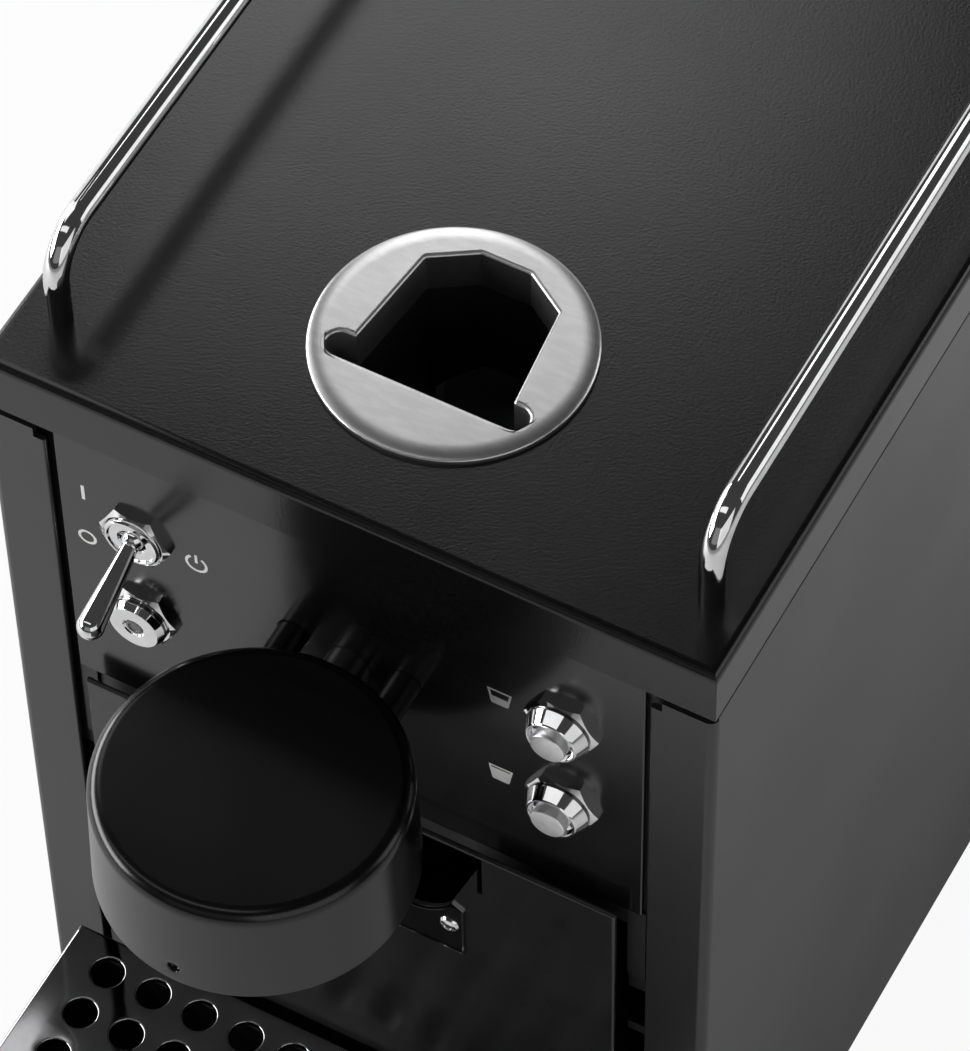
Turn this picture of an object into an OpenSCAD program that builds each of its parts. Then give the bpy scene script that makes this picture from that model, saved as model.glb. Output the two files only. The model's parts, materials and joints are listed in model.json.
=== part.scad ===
// Pod coffee machine: a bent sheet case with a capsule slot and two cup rails on top,
// a dispensing head over a drip tray, a used-capsule bin and a water tank at the back.
// Millimetres. X to the right, Y to the back, Z up, feet on Z = 0.

/* [Case] */
// Width over the side panels
body_w = 150; // [146:1:156]
// Depth of the case, front flanges to rear panel
case_d = 170; // [168:1:180]
// Height of the lid over the table
body_h = 240; // [238:1:250]
// Depth of the tank section behind the case
tank_d = 70; // [62:1:80]
// Height of the lips of the lid
lip_h = 13.5; // [12.5:0.1:14]
// Thickness of the bent sheet
sheet = 1.2; // [1:0.1:1.4]
// Outer radius of the sheet bends
bend_r = 2; // [1.6:0.1:2.4]
// Width of the flange folded in at each front edge
flange_w = 12.9; // [12.5:0.1:14]
// Height of the rubber feet
foot_h = 6; // [5:0.5:8]

/* [Capsule slot] */
// Distance of the slot ring behind the front
ring_d = 42.5; // [41:0.5:44]
// Radius of the slot ring
ring_r = 26.7; // [26:0.1:27.5]
// Height of the slot ring over the lid
ring_h = 1.6; // [1:0.1:2.2]
// Half width of the narrow part that takes the capsule rim
rim_half_w = 20.6; // [20:0.1:21]
// Length of the slot along Y
slot_len = 32.7; // [32:0.1:33]

/* [Cup rails] */
// Radius of the rail rod
rail_r = 2.45; // [2:0.05:2.8]
// Distance of each rail axis from the side of the case
rail_in = 8.8; // [8:0.1:11]
// Height of the rail axis over the lid
rail_h = 20; // [16:0.5:26]
// Distance from front post to rear post
rail_len = 140; // [120:1:144]
// Radius of the rail bends at the axis
rail_bend = 10; // [8:0.5:12]

/* [Dispensing head] */
// Radius of the head at its lower edge
head_r = 30.3; // [28:0.1:31]
// Height of the head
head_h = 25.7; // [24:0.1:28]
// Distance of the head axis in front of the case
head_d = 34.7; // [34.5:0.1:38]
// Height of the top of the head below the lid
head_drop = 38; // [36:0.1:40]
// Radius of the two head rods
head_rod_r = 3.1; // [2.6:0.1:3.4]
// Distance of each head rod from the middle
head_rod_x = 11.8; // [11:0.1:13]

/* [Controls] */
// Distance of the controls from the middle
control_x = 44.4; // [43:0.1:45]
// Depth of the upper row below the lid
row_top = 36.2; // [35:0.1:38]
// Distance between the two rows
row_gap = 24.9; // [23:0.1:26]
// Size of the hexagon nuts across flats
nut_af = 13.4; // [12.8:0.1:14]
// Lever length of the toggle switch from its pivot
lever_len = 18.1; // [15:0.1:19]
// Lean of the toggle lever at rest
lever_lean = 23; // [18:1:26]
// Radius of the push-button caps
cap_r = 3.5; // [3:0.1:3.8]

/* [Drip tray] */
// Depth of the tray in front of the case
tray_d = 88; // [84:1:92]
// Width of the grid
grid_w = 129.6; // [126:0.2:131]
// Height of the grid over the table
grid_z = 60; // [58:0.5:61]
// Radius of the round grid holes
grid_hole_r = 3.5; // [3:0.1:4]
// Distance between the grid holes
grid_pitch = 10.8; // [10.4:0.1:11.2]
// Number of hole rows from back to front
grid_rows = 7; // [5:1:7]

/* [Hidden] */
// What to draw: one node, or all of them

// shared clearances
run_fit = 0.05;      // running fit, per side
seat_gap = 0.1;      // clearance of a fixed piece in its hole, per side
slide_gap = 0.4;     // clearance between pieces that move past each other
cut = 0.5;           // how far a cutter runs past a face

// roundness
fn_small = 20;
fn_mid = 32;
fn_big = 64;
hex = 6;

// levels and planes
half_w = body_w / 2;
inner_w = half_w - sheet;
front_y = -(case_d + tank_d - tray_d) / 2;
pan_t = 1.5;
pan_z = foot_h + pan_t;
lid_z = body_h - sheet;
lip_z = body_h - lip_h;
bend_in = bend_r - sheet;
flange_x = half_w - flange_w;
rear_in = case_d - sheet;
rail_x = half_w - rail_in;
rail_stud_r = 1.9;
rail_nut_r = 3.85;
rail_nut_h = 3.5;

// control panel
panel_x = flange_x - 1.15;
panel_face = 0.8;
panel_t = 1.6;
panel_back = panel_face + panel_t;
panel_low = body_h - 89.5;
panel_top = lip_z - 0.3;
panel_edge_r = 0.6;

// front frame
frame_t = 1.2;
frame_front = panel_back;
frame_back = frame_front + frame_t;
frame_x = inner_w - 0.3;
frame_open_x = flange_x - 4.7;
frame_wide_x = half_w - 9;
frame_top = lid_z - rail_nut_h - 1.5;
frame_bar_low = 143;
frame_bar_high = 152;
frame_win_top = 222;
frame_strip_low = 121;
frame_win_low = 63.6;
frame_tab_low = 105.3;
frame_tab_high = 107.8;
strip_t = 0.8;
strip_low = 126.5;
strip_x = flange_x - 0.7;

// used-capsule bin and its front
shelf_z = 62.4;
shelf_t = 1.2;
shelf_rear = 132;
door_x = frame_open_x - 0.3;
door_face = -3;
door_back = door_face + 1;
door_top = body_h - 87.6;
door_low = grid_z + 1.6;
door_edge_r = 0.7;
bin_x = door_x - 5.1;
bin_low = shelf_z + shelf_t + slide_gap;
bin_high = 138;
bin_len = 128;
bin_wall = 2;
grip_x = 22.3;
grip_low = body_h - 114.6;
grip_mid = body_h - 108.1;
grip_diag = body_h - 92.8;
grip_high = door_top - 0.9;
grip_r = 10.7;
plate_x = 25;
plate_low = body_h - 124.6;
plate_t = 0.5;
plate_rim = 0.7;
plate_chamfer = 2.4;
rivet_r = 2.1;
rivet_in = 3.2;
rivet_up = 8.7;
rivet_h = 0.5;
slit_x = 27.9;
slit_w = 1.1;
slit_low = body_h - 100.6;

// slot ring, chute and brew unit
ring_neck_r = 24.4;
ring_neck_z = body_h - 8;
ring_edge = 0.75;
slot_front = 12.7;
rim_len = 5.4;
slot_side_x = 16.4;
slot_side_end = 13.7;
slot_tail_x = 5.1;
slot_tail_cut = 5.5;
slot_grow = 0.4;
chute_r = 26;
brew_x = 32;
brew_low = 165;
brew_high = 216;
brew_front = 12;
brew_rear = 118;
brew_axis_z = 190;
bore_front = 36.5;
piston_r = 17;
piston_front = 64.8;
piston_rear = 112;
cup_r = 15.2;
cup_len = 26;
bracket_t = 1.4;
bracket_low = brew_low - bracket_t;
bracket_front = 10;
bracket_rear = 122;
bracket_open_x = 28;
bracket_open_front = 24;
bracket_open_rear = 66;
bracket_fold = 12;
finger_pin_x = 23;
finger_pin_z = 173;
finger_pin_r = 1.5;
finger_front = 29.5;
finger_rear = 35.5;
finger_eye_r = 3.4;
finger_reach = 13.5;
finger_h = 2.6;
water_r = 1.6;
cap_flange_r = 22;
cap_t = 3;
cap_plug = 2.5;
pocket_gap = 0.5;

// head
head_top = body_h - head_drop;
head_low = head_top - head_h;
head_taper = 0.6;
head_wall = 3;
head_fillet = 2;
head_rod_z = body_h - 45.7;
head_rod_front = -52;
head_rod_rear = 22;
core_r = 24;
core_low = head_low + 5;
pipe_r = 4.4;
pipe_bore_r = 2.5;
pipe_z = head_rod_z - 1.9;
pipe_front = -34.7;
pipe_rear = 24;
screw_r = 1;
screw_z = head_low + 4.3;
screw_hole_r = 1.2;
spout_r = 9;
spout_h = 5;
nozzle_r = 3;
nozzle_x = 5.5;
nozzle_h = 7;
nozzle_bore = 1.6;

// controls
toggle_z = body_h - row_top;
lamp_z = toggle_z - row_gap;
nut_front = -0.9;
bush_r = 5.9;
stem_r = 5.5;
toggle_front = -1.6;
toggle_recess_r = 3.7;
toggle_recess = 1;
toggle_pivot = 0;
toggle_ball_r = 2.4;
toggle_pin_r = 0.5;
toggle_pin_x = 3.6;
toggle_box_w = 13;
toggle_box_h = 22;
toggle_box_rear = 22;
lever_base_r = 1.15;
lever_tip_r = 2.15;
lever_ball_r = 2.4;
lamp_disc_r = 6;
lamp_front = -3.4;
lamp_rear = 16;
lens_r = 1.9;
lens_seat = 1;
button_disc_r = 6.4;
button_disc_front = -2.3;
button_bezel_r = 5.15;
button_front = -4.3;
button_rear = 20;
cap_front = -5.7;
cap_stem_r = 2.2;
cap_shoulder = 4;
cap_rear = 14;

// drip tray
grid_t = 1.2;
grid_back = -4.1;
grid_fold = 6;
tray_wall = 2;
tray_low = pan_z + 0.5;
tray_x = grid_w / 2 - grid_t - 1.1;
tray_top = grid_z - grid_t - 0.4;
tray_back = grid_back - grid_t - 1.1;
tray_front = -tray_d + grid_t + 1.1;
grid_cols = 11;
grid_first = -11.7;
tongue_x = tray_x - 4.5;

// water tank
tank_wall = 2.5;
tank_front = case_d + 1.2;
tank_rear = case_d + tank_d - 0.6;
tank_x = half_w - 3;
base_top = 48;
tank_low = base_top + slide_gap;
tank_top = body_h - 8;
base_wall = 2;
lid_t = 3;
lid_gap = 0.4;
lug_x = tank_x - 12;
lug_w = 5;
lug_r = 4;
hinge_r = 1.5;
hinge_y = tank_rear - 4.6;
hinge_z = tank_top + 1;
valve_x = 37 - half_w;
valve_r = 6;
valve_hole_r = 8;
valve_d = case_d + 34;
valve_low = 40;
finger_dip_r = 12;
inlet_w = 27;
inlet_h = 20;
inlet_x = half_w - 31;
inlet_z = 28;
inlet_deep = 18;

// pump, boiler, board, tubes
pump_r = 17;
pump_z = 31;
pump_front = 84;
pump_rear = 150;
pump_foot_x = 12;
pump_neck_r = 7;
pump_neck = 10;
boiler_x0 = half_w - 67;
boiler_x1 = half_w - 6;
boiler_front = 28;
boiler_rear = 122;
boiler_low = 14;
boiler_high = 50;
boiler_post_r = 4;
board_x = 30;
board_low = 74;
board_high = 150;
board_t = 1.6;
board_gap = 6;
board_post_r = 3;
tube_r = 3;
tube_in = 6;
tube_elbow = 8;
hot_x = half_w - 11;
hot_d = 114;

// ---------- helpers ----------

// put the children on the front plane: Y = 0 there, positive to the back
module at_front() {
  translate([0, front_y, 0])
    children();
}

// box between two corners
module block(x0, x1, y0, y1, z0, z1) {
  translate([x0, y0, z0])
    cube([x1 - x0, y1 - y0, z1 - z0]);
}

// rod along Y
module rod_y(r, y0, y1, x, z, fn) {
  translate([x, y0, z])
    rotate([-90, 0, 0])
      cylinder(r = r, h = y1 - y0, $fn = fn);
}

// rod along X
module rod_x(r, x0, x1, y, z, fn) {
  translate([x0, y, z])
    rotate([0, 90, 0])
      cylinder(r = r, h = x1 - x0, $fn = fn);
}

// rod along Z
module rod_z(r, z0, z1, x, y, fn) {
  translate([x, y, z0])
    cylinder(r = r, h = z1 - z0, $fn = fn);
}

// flat shape drawn in X and Z, pushed back along Y
module push_y(y0, y1) {
  translate([0, y1, 0])
    rotate([90, 0, 0])
      linear_extrude(height = y1 - y0)
        children();
}

// flat shape drawn in Y and Z, pushed along X
module push_x(x0, x1) {
  translate([x0, 0, 0])
    rotate([90, 0, 90])
      linear_extrude(height = x1 - x0)
        children();
}

// hexagon nut along Y with two corners level
module nut_y(x, z, bore) {
  difference() {
    translate([x, nut_front, z])
      rotate([-90, 0, 0])
        cylinder(r = nut_af / 2 / cos(30), h = panel_face - nut_front, $fn = hex);
    rod_y(bore, nut_front - cut, panel_face + cut, x, z, fn_mid);
  }
}

// outline of the capsule slot, centred on the ring, widened by grow
module slot_shape(grow) {
  tail_y = slot_len - slot_front;
  rim_r = rim_len / 2;
  polygon([
    [-slot_side_x - grow, -slot_front + rim_len / 2],
    [slot_side_x + grow, -slot_front + rim_len / 2],
    [slot_side_end + grow, tail_y - slot_tail_cut],
    [slot_tail_x + grow, tail_y + grow],
    [-slot_tail_x - grow, tail_y + grow],
    [-slot_side_end - grow, tail_y - slot_tail_cut]
  ]);
  translate([-rim_half_w + rim_r, -slot_front - grow])
    square([2 * (rim_half_w - rim_r), rim_len + 2 * grow]);
  for (s = [-1, 1])
    translate([s * (rim_half_w - rim_r), -slot_front + rim_r])
      circle(r = rim_r + grow, $fn = fn_small);
}

// ---------- case ----------

module base_pan() {
  color("dimgray")
  at_front()
  difference() {
    union() {
      block(-inner_w, inner_w, frame_front, case_d + tank_d - 4, foot_h, pan_z);
      block(-tongue_x, tongue_x, tray_front + 4, frame_front + cut, foot_h, pan_z);
      for (s = [-1, 1])
        block(s * inner_w - (s + 1) / 2 * pan_t, s * inner_w + (1 - s) / 2 * pan_t,
          frame_back + 1, rear_in - 3, foot_h, pan_z + 16);
    }
    for (x = [-foot_x(), foot_x()], y = foot_rows())
      rod_z(foot_screw_r(), foot_h - cut, pan_z + cut, x, y, fn_small);
  }
}

function foot_x() = half_w - 16;
function foot_rows() = [16, case_d + tank_d - 18];
function foot_screw_r() = 2.1;
function foot_r() = 9;

module foot(x, y) {
  color("black")
  at_front()
  difference() {
    rod_z(foot_r(), 0, foot_h, x, y, fn_mid);
    rod_z(foot_screw_r(), 2, foot_h + cut, x, y, fn_small);
  }
}

// side panel with its front flange folded in; s is -1 on the left, 1 on the right
module side_panel(s) {
  side_top = lip_z - 0.5;
  flange_top = lip_z - 1.6;
  notch = 2.4;
  color("black")
  at_front()
  mirror([(1 - s) / 2, 0, 0])
  difference() {
    translate([0, 0, pan_z - 1])
      linear_extrude(height = side_top - pan_z + 1) {
        translate([inner_w, bend_r])
          square([sheet, case_d - bend_r]);
        translate([flange_x + sheet / 2, 0])
          square([flange_w - bend_r - sheet / 2, sheet]);
        translate([flange_x + sheet / 2, sheet / 2])
          circle(r = sheet / 2, $fn = fn_small);
        difference() {
          translate([half_w - bend_r, bend_r])
            circle(r = bend_r, $fn = fn_mid);
          translate([half_w - bend_r, bend_r])
            circle(r = bend_in, $fn = fn_mid);
          translate([half_w - 3 * bend_r, bend_r])
            square([3 * bend_r, 3 * bend_r]);
          translate([half_w - 3 * bend_r, -bend_r])
            square([2 * bend_r, 4 * bend_r]);
        }
      }
    block(flange_x - cut, half_w + cut, -cut, sheet + 0.3, flange_top, body_h);
    block(flange_x - cut, flange_x + notch, -cut, sheet + 0.3, flange_top - notch, body_h);
  }
}

// lid with a lip on all four sides and holes for the ring and the rails
module lid() {
  color("black")
  at_front()
  difference() {
    intersection() {
      push_y(0, case_d)
        top_round(-half_w, half_w, lip_z, body_h, bend_r);
      push_x(-half_w, half_w)
        top_round(0, case_d, lip_z, body_h, bend_r);
    }
    intersection() {
      push_y(sheet, rear_in)
        top_round(-inner_w, inner_w, lip_z - cut, lid_z, bend_in);
      push_x(-inner_w, inner_w)
        top_round(sheet, rear_in, lip_z - cut, lid_z, bend_in);
    }
    rod_z(ring_neck_r + 0.3, lid_z - cut, body_h + cut, 0, ring_d, fn_big);
    for (x = [-rail_x, rail_x], y = rail_rows())
      rod_z(rail_stud_r + seat_gap, lid_z - cut, body_h + cut, x, y, fn_mid);
  }
}

// flat shape with its two upper corners rounded
module top_round(x0, x1, y0, y1, r) {
  translate([x0, y0])
    square([x1 - x0, y1 - y0 - r]);
  translate([x0 + r, y0])
    square([x1 - x0 - 2 * r, y1 - y0]);
  for (x = [x0 + r, x1 - r])
    translate([x, y1 - r])
      circle(r = r, $fn = fn_small);
}

function rail_rows() = [(case_d - rail_len) / 2, (case_d + rail_len) / 2];

module rear_panel() {
  vent_w = 3;
  vent_h = 26;
  vent_pitch = 8;
  color("dimgray")
  at_front()
  difference() {
    union() {
      block(-inner_w, inner_w, rear_in - pan_t, rear_in, pan_z, lid_z - bend_in);
      for (s = [-1, 1])
        block(s * inner_w - (s + 1) / 2 * sheet, s * inner_w + (1 - s) / 2 * sheet,
          rear_in - 14, rear_in, pan_z + 20, lip_z - 6);
    }
    rod_y(tube_r + 1.5, rear_in - pan_t - cut, rear_in + cut, valve_x, pump_z, fn_mid);
    for (i = [-3 : 3])
      block(i * vent_pitch - vent_w / 2, i * vent_pitch + vent_w / 2, rear_in - pan_t - cut,
        rear_in + cut, frame_bar_high + 10, frame_bar_high + 10 + vent_h);
  }
}

// inner front frame: carries the panel and frames the bin
module front_frame() {
  pad_z = [pan_z + 14, frame_strip_low - 10, frame_win_top - 14];
  pad_x = (flange_x + half_w) / 2;
  color("dimgray")
  at_front()
  difference() {
    union() {
      block(-frame_x, frame_x, frame_front, frame_back, pan_z, frame_top);
      for (s = [-1, 1], z = pad_z)
        block(s * pad_x - 3, s * pad_x + 3, sheet, frame_front + cut, z, z + 10);
      for (s = [-1, 1])
        block(s * (frame_open_x + strip_x) / 2 - (strip_x - frame_open_x) / 2,
          s * (frame_open_x + strip_x) / 2 + (strip_x - frame_open_x) / 2,
          frame_front - strip_t, frame_front + cut, strip_low, panel_low - 0.5);
    }
    block(-frame_open_x, frame_open_x, frame_front - cut, frame_back + cut, frame_bar_high, frame_win_top);
    block(-frame_open_x, frame_open_x, frame_front - cut, frame_back + cut, frame_win_low, frame_bar_low);
    block(-frame_wide_x, frame_wide_x, frame_front - cut, frame_back + cut, frame_win_low, frame_tab_low);
    block(-frame_wide_x, frame_wide_x, frame_front - cut, frame_back + cut, frame_tab_high, frame_strip_low);
  }
}

module front_apron() {
  color("black")
  at_front()
    block(-flange_x + 0.6, flange_x - 0.6, frame_front - sheet, frame_front, pan_z + 0.5, grid_z + 1);
}

module control_panel() {
  color("black")
  at_front()
  difference() {
    translate([0, 0, panel_low])
      linear_extrude(height = panel_top - panel_low) {
        translate([-panel_x, panel_face + panel_edge_r])
          square([2 * panel_x, panel_t - panel_edge_r]);
        translate([-panel_x + panel_edge_r, panel_face])
          square([2 * (panel_x - panel_edge_r), panel_t]);
        for (s = [-1, 1])
          translate([s * (panel_x - panel_edge_r), panel_face + panel_edge_r])
            circle(r = panel_edge_r, $fn = fn_small);
      }
    rod_y(bush_r + seat_gap, panel_face - cut, panel_back + cut, -control_x, toggle_z, fn_mid);
    rod_y(stem_r + seat_gap, panel_face - cut, panel_back + cut, -control_x, lamp_z, fn_mid);
    for (z = [toggle_z, lamp_z])
      rod_y(stem_r + seat_gap, panel_face - cut, panel_back + cut, control_x, z, fn_mid);
    for (s = [-1, 1])
      rod_y(head_rod_r + seat_gap, panel_face - cut, panel_back + cut, s * head_rod_x, head_rod_z, fn_mid);
    rod_y(pipe_r + seat_gap, panel_face - cut, panel_back + cut, 0, pipe_z, fn_mid);
  }
}

// box behind the case that carries the tank and the power inlet
module tank_base() {
  color("black")
  at_front()
  difference() {
    block(-inner_w, inner_w, case_d, case_d + tank_d, pan_z, base_top);
    block(-inner_w + base_wall, inner_w - base_wall, case_d + base_wall, case_d + tank_d - base_wall,
      pan_z - cut, base_top - base_wall);
    rod_z(valve_hole_r, base_top - base_wall - cut, base_top + cut, valve_x, valve_d, fn_mid);
    rod_y(tube_r + 1.5, case_d - cut, case_d + base_wall + cut, valve_x, pump_z, fn_mid);
    block(inlet_x - inlet_w / 2, inlet_x + inlet_w / 2, case_d + tank_d - base_wall - cut,
      case_d + tank_d + cut, inlet_z - inlet_h / 2, inlet_z + inlet_h / 2);
  }
}

// ---------- top ----------

module slot_ring() {
  color("silver")
  at_front()
  translate([0, ring_d, 0])
  difference() {
    union() {
      translate([0, 0, body_h])
        rotate_extrude($fn = fn_big) {
          square([ring_r - ring_edge, ring_h]);
          square([ring_r, ring_h - ring_edge]);
          translate([ring_r - ring_edge, ring_h - ring_edge])
            circle(r = ring_edge, $fn = fn_small);
        }
      rod_z(ring_neck_r, ring_neck_z, body_h + cut, 0, 0, fn_big);
    }
    translate([0, 0, ring_neck_z - cut])
      linear_extrude(height = ring_h + body_h - ring_neck_z + 2 * cut)
        slot_shape(0);
  }
}

module chute() {
  color("gray")
  at_front()
  translate([0, ring_d, 0])
  difference() {
    rod_z(chute_r, brew_high, ring_neck_z, 0, 0, fn_big);
    translate([0, 0, brew_high - cut])
      linear_extrude(height = ring_neck_z - brew_high + 2 * cut)
        slot_shape(slot_grow);
  }
}

module rail(x) {
  color("silver")
  at_front()
  translate([x, 0, 0]) {
    for (y = rail_rows()) {
      rod_z(rail_r, body_h, body_h + rail_h - rail_bend, 0, y, fn_mid);
      rod_z(rail_stud_r, lid_z - rail_nut_h - 1.5, body_h + cut, 0, y, fn_small);
    }
    rod_y(rail_r, rail_rows()[0] + rail_bend, rail_rows()[1] - rail_bend, 0, body_h + rail_h, fn_mid);
    translate([0, rail_rows()[0] + rail_bend, body_h + rail_h - rail_bend])
      rotate([90, 0, -90])
        rotate_extrude(angle = 90, $fn = fn_mid)
          translate([rail_bend, 0])
            circle(r = rail_r, $fn = fn_mid);
    translate([0, rail_rows()[1] - rail_bend, body_h + rail_h - rail_bend])
      rotate([90, 0, 90])
        rotate_extrude(angle = 90, $fn = fn_mid)
          translate([rail_bend, 0])
            circle(r = rail_r, $fn = fn_mid);
  }
}

// the four nuts under the lid
module rail_nuts() {
  color("silver")
  at_front()
  for (x = [-rail_x, rail_x], y = rail_rows())
    difference() {
      rod_z(rail_nut_r, lid_z - rail_nut_h, lid_z, x, y, hex);
      rod_z(rail_stud_r, lid_z - rail_nut_h - cut, lid_z + cut, x, y, fn_small);
    }
}

// ---------- controls ----------

module toggle_body() {
  color("silver")
  at_front()
  difference() {
    union() {
      rod_y(bush_r, toggle_front, panel_back + cut, -control_x, toggle_z, fn_mid);
      block(-control_x - toggle_box_w / 2, -control_x + toggle_box_w / 2, panel_back, toggle_box_rear,
        toggle_z - toggle_box_h / 2, toggle_z + toggle_box_h / 2);
    }
    rod_y(toggle_recess_r, toggle_front - cut, toggle_front + toggle_recess, -control_x, toggle_z, fn_mid);
    rod_y(toggle_ball_r + run_fit, toggle_front, toggle_pivot + toggle_ball_r + seat_gap, -control_x,
      toggle_z, fn_mid);
    rod_x(toggle_pin_r + run_fit, -control_x - toggle_pin_x - seat_gap, -control_x + toggle_pin_x + seat_gap,
      toggle_pivot, toggle_z, fn_small);
  }
}

module toggle_nut() {
  color("silver")
  at_front()
    nut_y(-control_x, toggle_z, bush_r + seat_gap);
}

// lever from its ball in the bushing to the round tip, leaning down at rest
module toggle_lever() {
  color("silver")
  at_front()
  translate([-control_x, toggle_pivot, toggle_z])
  rotate([90 + lever_lean, 0, 0]) {
    sphere(r = toggle_ball_r, $fn = fn_small);
    rod_x(toggle_pin_r, -toggle_pin_x, toggle_pin_x, 0, 0, fn_small);
    cylinder(r1 = lever_base_r, r2 = lever_tip_r, h = lever_len, $fn = fn_small);
    translate([0, 0, lever_len])
      sphere(r = lever_ball_r, $fn = fn_small);
  }
}

module lamp_body() {
  color("silver")
  at_front()
  difference() {
    union() {
      rod_y(stem_r, nut_front - cut, lamp_rear, -control_x, lamp_z, fn_mid);
      rod_y(lamp_disc_r, lamp_front, nut_front, -control_x, lamp_z, fn_mid);
    }
    rod_y(lens_r, lamp_front - cut, lamp_front + lens_seat, -control_x, lamp_z, fn_small);
  }
}

module lamp_nut() {
  color("silver")
  at_front()
    nut_y(-control_x, lamp_z, stem_r + seat_gap);
}

module lamp_lens() {
  lens_h = 1.5;
  color("white")
  at_front()
    rod_y(lens_r - run_fit, lamp_front + lens_seat - lens_h, lamp_front + lens_seat, -control_x, lamp_z,
      fn_small);
}

module button_body(z) {
  color("silver")
  at_front()
  difference() {
    union() {
      rod_y(stem_r, button_disc_front, button_rear, control_x, z, fn_mid);
      rod_y(button_disc_r, button_disc_front, nut_front, control_x, z, fn_mid);
      rod_y(button_bezel_r, button_front, button_disc_front + cut, control_x, z, fn_mid);
    }
    rod_y(cap_r + run_fit, button_front - cut, cap_shoulder + 3, control_x, z, fn_mid);
    rod_y(cap_stem_r + slide_gap, cap_shoulder, button_rear + cut, control_x, z, fn_small);
  }
}

module button_nut(z) {
  color("silver")
  at_front()
    nut_y(control_x, z, stem_r + seat_gap);
}

module button_cap(z) {
  color("silver")
  at_front() {
    rod_y(cap_r, cap_front, cap_shoulder, control_x, z, fn_mid);
    rod_y(cap_stem_r, cap_shoulder - cut, cap_rear, control_x, z, fn_small);
  }
}

// ---------- dispensing head ----------

// round cap: tapered wall, rounded upper edge, open below
module head_cap() {
  top_r = head_r - head_taper;
  color("black")
  at_front()
  translate([0, -head_d, 0])
  difference() {
    rotate_extrude($fn = fn_big)
      translate([0, head_low]) {
        difference() {
          union() {
            polygon([[0, 0], [head_r, 0], [top_r, head_h - head_fillet], [0, head_h - head_fillet]]);
            square([top_r - head_fillet, head_h]);
            translate([top_r - head_fillet, head_h - head_fillet])
              circle(r = head_fillet, $fn = fn_mid);
          }
          translate([-head_r, -cut])
            square([head_r, head_h + 2 * cut]);
          translate([-cut, -cut])
            square([top_r - head_wall + cut, head_h - head_wall + cut]);
        }
      }
    for (s = [-1, 1])
      rod_y(head_rod_r + seat_gap, 0, head_r + cut, s * head_rod_x, head_rod_z, fn_mid);
    rod_y(pipe_r + seat_gap, 0, head_r + cut, 0, pipe_z, fn_mid);
    rod_y(screw_hole_r, -head_r - cut, 0, 0, screw_z, fn_small);
  }
}

module head_core() {
  color("dimgray")
  at_front()
  difference() {
    rod_z(core_r, core_low, head_top - head_wall, 0, -head_d, fn_big);
    for (s = [-1, 1])
      rod_y(head_rod_r, head_rod_front, cut, s * head_rod_x, head_rod_z, fn_mid);
    rod_y(pipe_r, pipe_front, cut, 0, pipe_z, fn_mid);
    rod_z(pipe_bore_r, core_low - cut, pipe_z, 0, pipe_front + 3, fn_small);
  }
}

// twin outlet below the head
module head_outlet() {
  spout_d = pipe_front + 3;
  spout_low = core_low - spout_h;
  color("dimgray")
  at_front()
  difference() {
    union() {
      rod_z(spout_r, spout_low, core_low, 0, spout_d, fn_mid);
      for (s = [-1, 1])
        rod_z(nozzle_r, spout_low - nozzle_h, spout_low + cut, s * nozzle_x, spout_d, fn_mid);
    }
    block(-nozzle_x, nozzle_x, spout_d - nozzle_bore / 2, spout_d + nozzle_bore / 2,
      core_low - 2, core_low + cut);
    for (s = [-1, 1])
      rod_z(nozzle_bore, spout_low - nozzle_h - cut, core_low + cut, s * nozzle_x, spout_d, fn_small);
  }
}

module head_rod(s) {
  color("dimgray")
  at_front()
    rod_y(head_rod_r, head_rod_front, head_rod_rear, s * head_rod_x, head_rod_z, fn_mid);
}

module head_screw() {
  screw_front = -head_d - head_r + 0.8;
  color("dimgray")
  at_front()
  difference() {
    rod_y(screw_r, screw_front, -head_d - core_r, 0, screw_z, fn_small);
    rod_y(screw_r / 2, screw_front - cut, screw_front + 1, 0, screw_z, hex);
  }
}

module coffee_pipe() {
  color("black")
  at_front()
  difference() {
    rod_y(pipe_r, pipe_front, pipe_rear, 0, pipe_z, fn_mid);
    rod_y(pipe_bore_r, pipe_front + 1, pipe_rear + cut, 0, pipe_z, fn_small);
    rod_z(pipe_bore_r, pipe_z - pipe_r - cut, pipe_z, 0, pipe_front + 3, fn_small);
  }
}

// ---------- used-capsule bin ----------

module bin() {
  grip_cut_x = 32;
  color("dimgray")
  at_front()
  difference() {
    block(-bin_x, bin_x, door_back, bin_len, bin_low, bin_high);
    block(-bin_x + bin_wall, bin_x - bin_wall, door_back + bin_wall, bin_len - bin_wall,
      bin_low + bin_wall, bin_high + cut);
    block(-grip_cut_x, grip_cut_x, door_back - cut, door_back + bin_wall + cut, grip_low - 3, bin_high + cut);
  }
}

// dish of a given depth with round corners, open at the top
module dish(x, low, high, r) {
  corner_x = x - sqrt(r * r - pow(r - high + low, 2));
  translate([-corner_x, low])
    square([2 * corner_x, high - low]);
  intersection() {
    translate([-x - r, low])
      square([2 * (x + r), high - low]);
    for (s = [-1, 1])
      translate([s * corner_x, low + r])
        circle(r = r, $fn = fn_big);
  }
}

// opening for the fingers: a dish below, wider at the top, with a slit down each side
module grip_shape() {
  dish(grip_x, grip_low, grip_mid, grip_r);
  polygon([[-grip_x, grip_mid], [grip_x, grip_mid], [slit_x, grip_diag], [slit_x, grip_high],
    [-slit_x, grip_high], [-slit_x, grip_diag]]);
  for (s = [-1, 1])
    translate([s * (slit_x + slit_w / 2) - slit_w / 2, slit_low])
      square([slit_w, grip_high - slit_low]);
}

module bin_front() {
  color("black")
  at_front()
  difference() {
    intersection() {
      translate([0, 0, door_low])
        linear_extrude(height = door_top - door_low)
          edge_round(-door_x, door_x);
      push_x(-door_x, door_x)
        rotate([0, 0, 90])
          mirror([0, 1, 0])
            edge_round(door_low, door_top);
    }
    push_y(door_face - cut, door_back + cut)
      grip_shape();
  }
}

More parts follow.
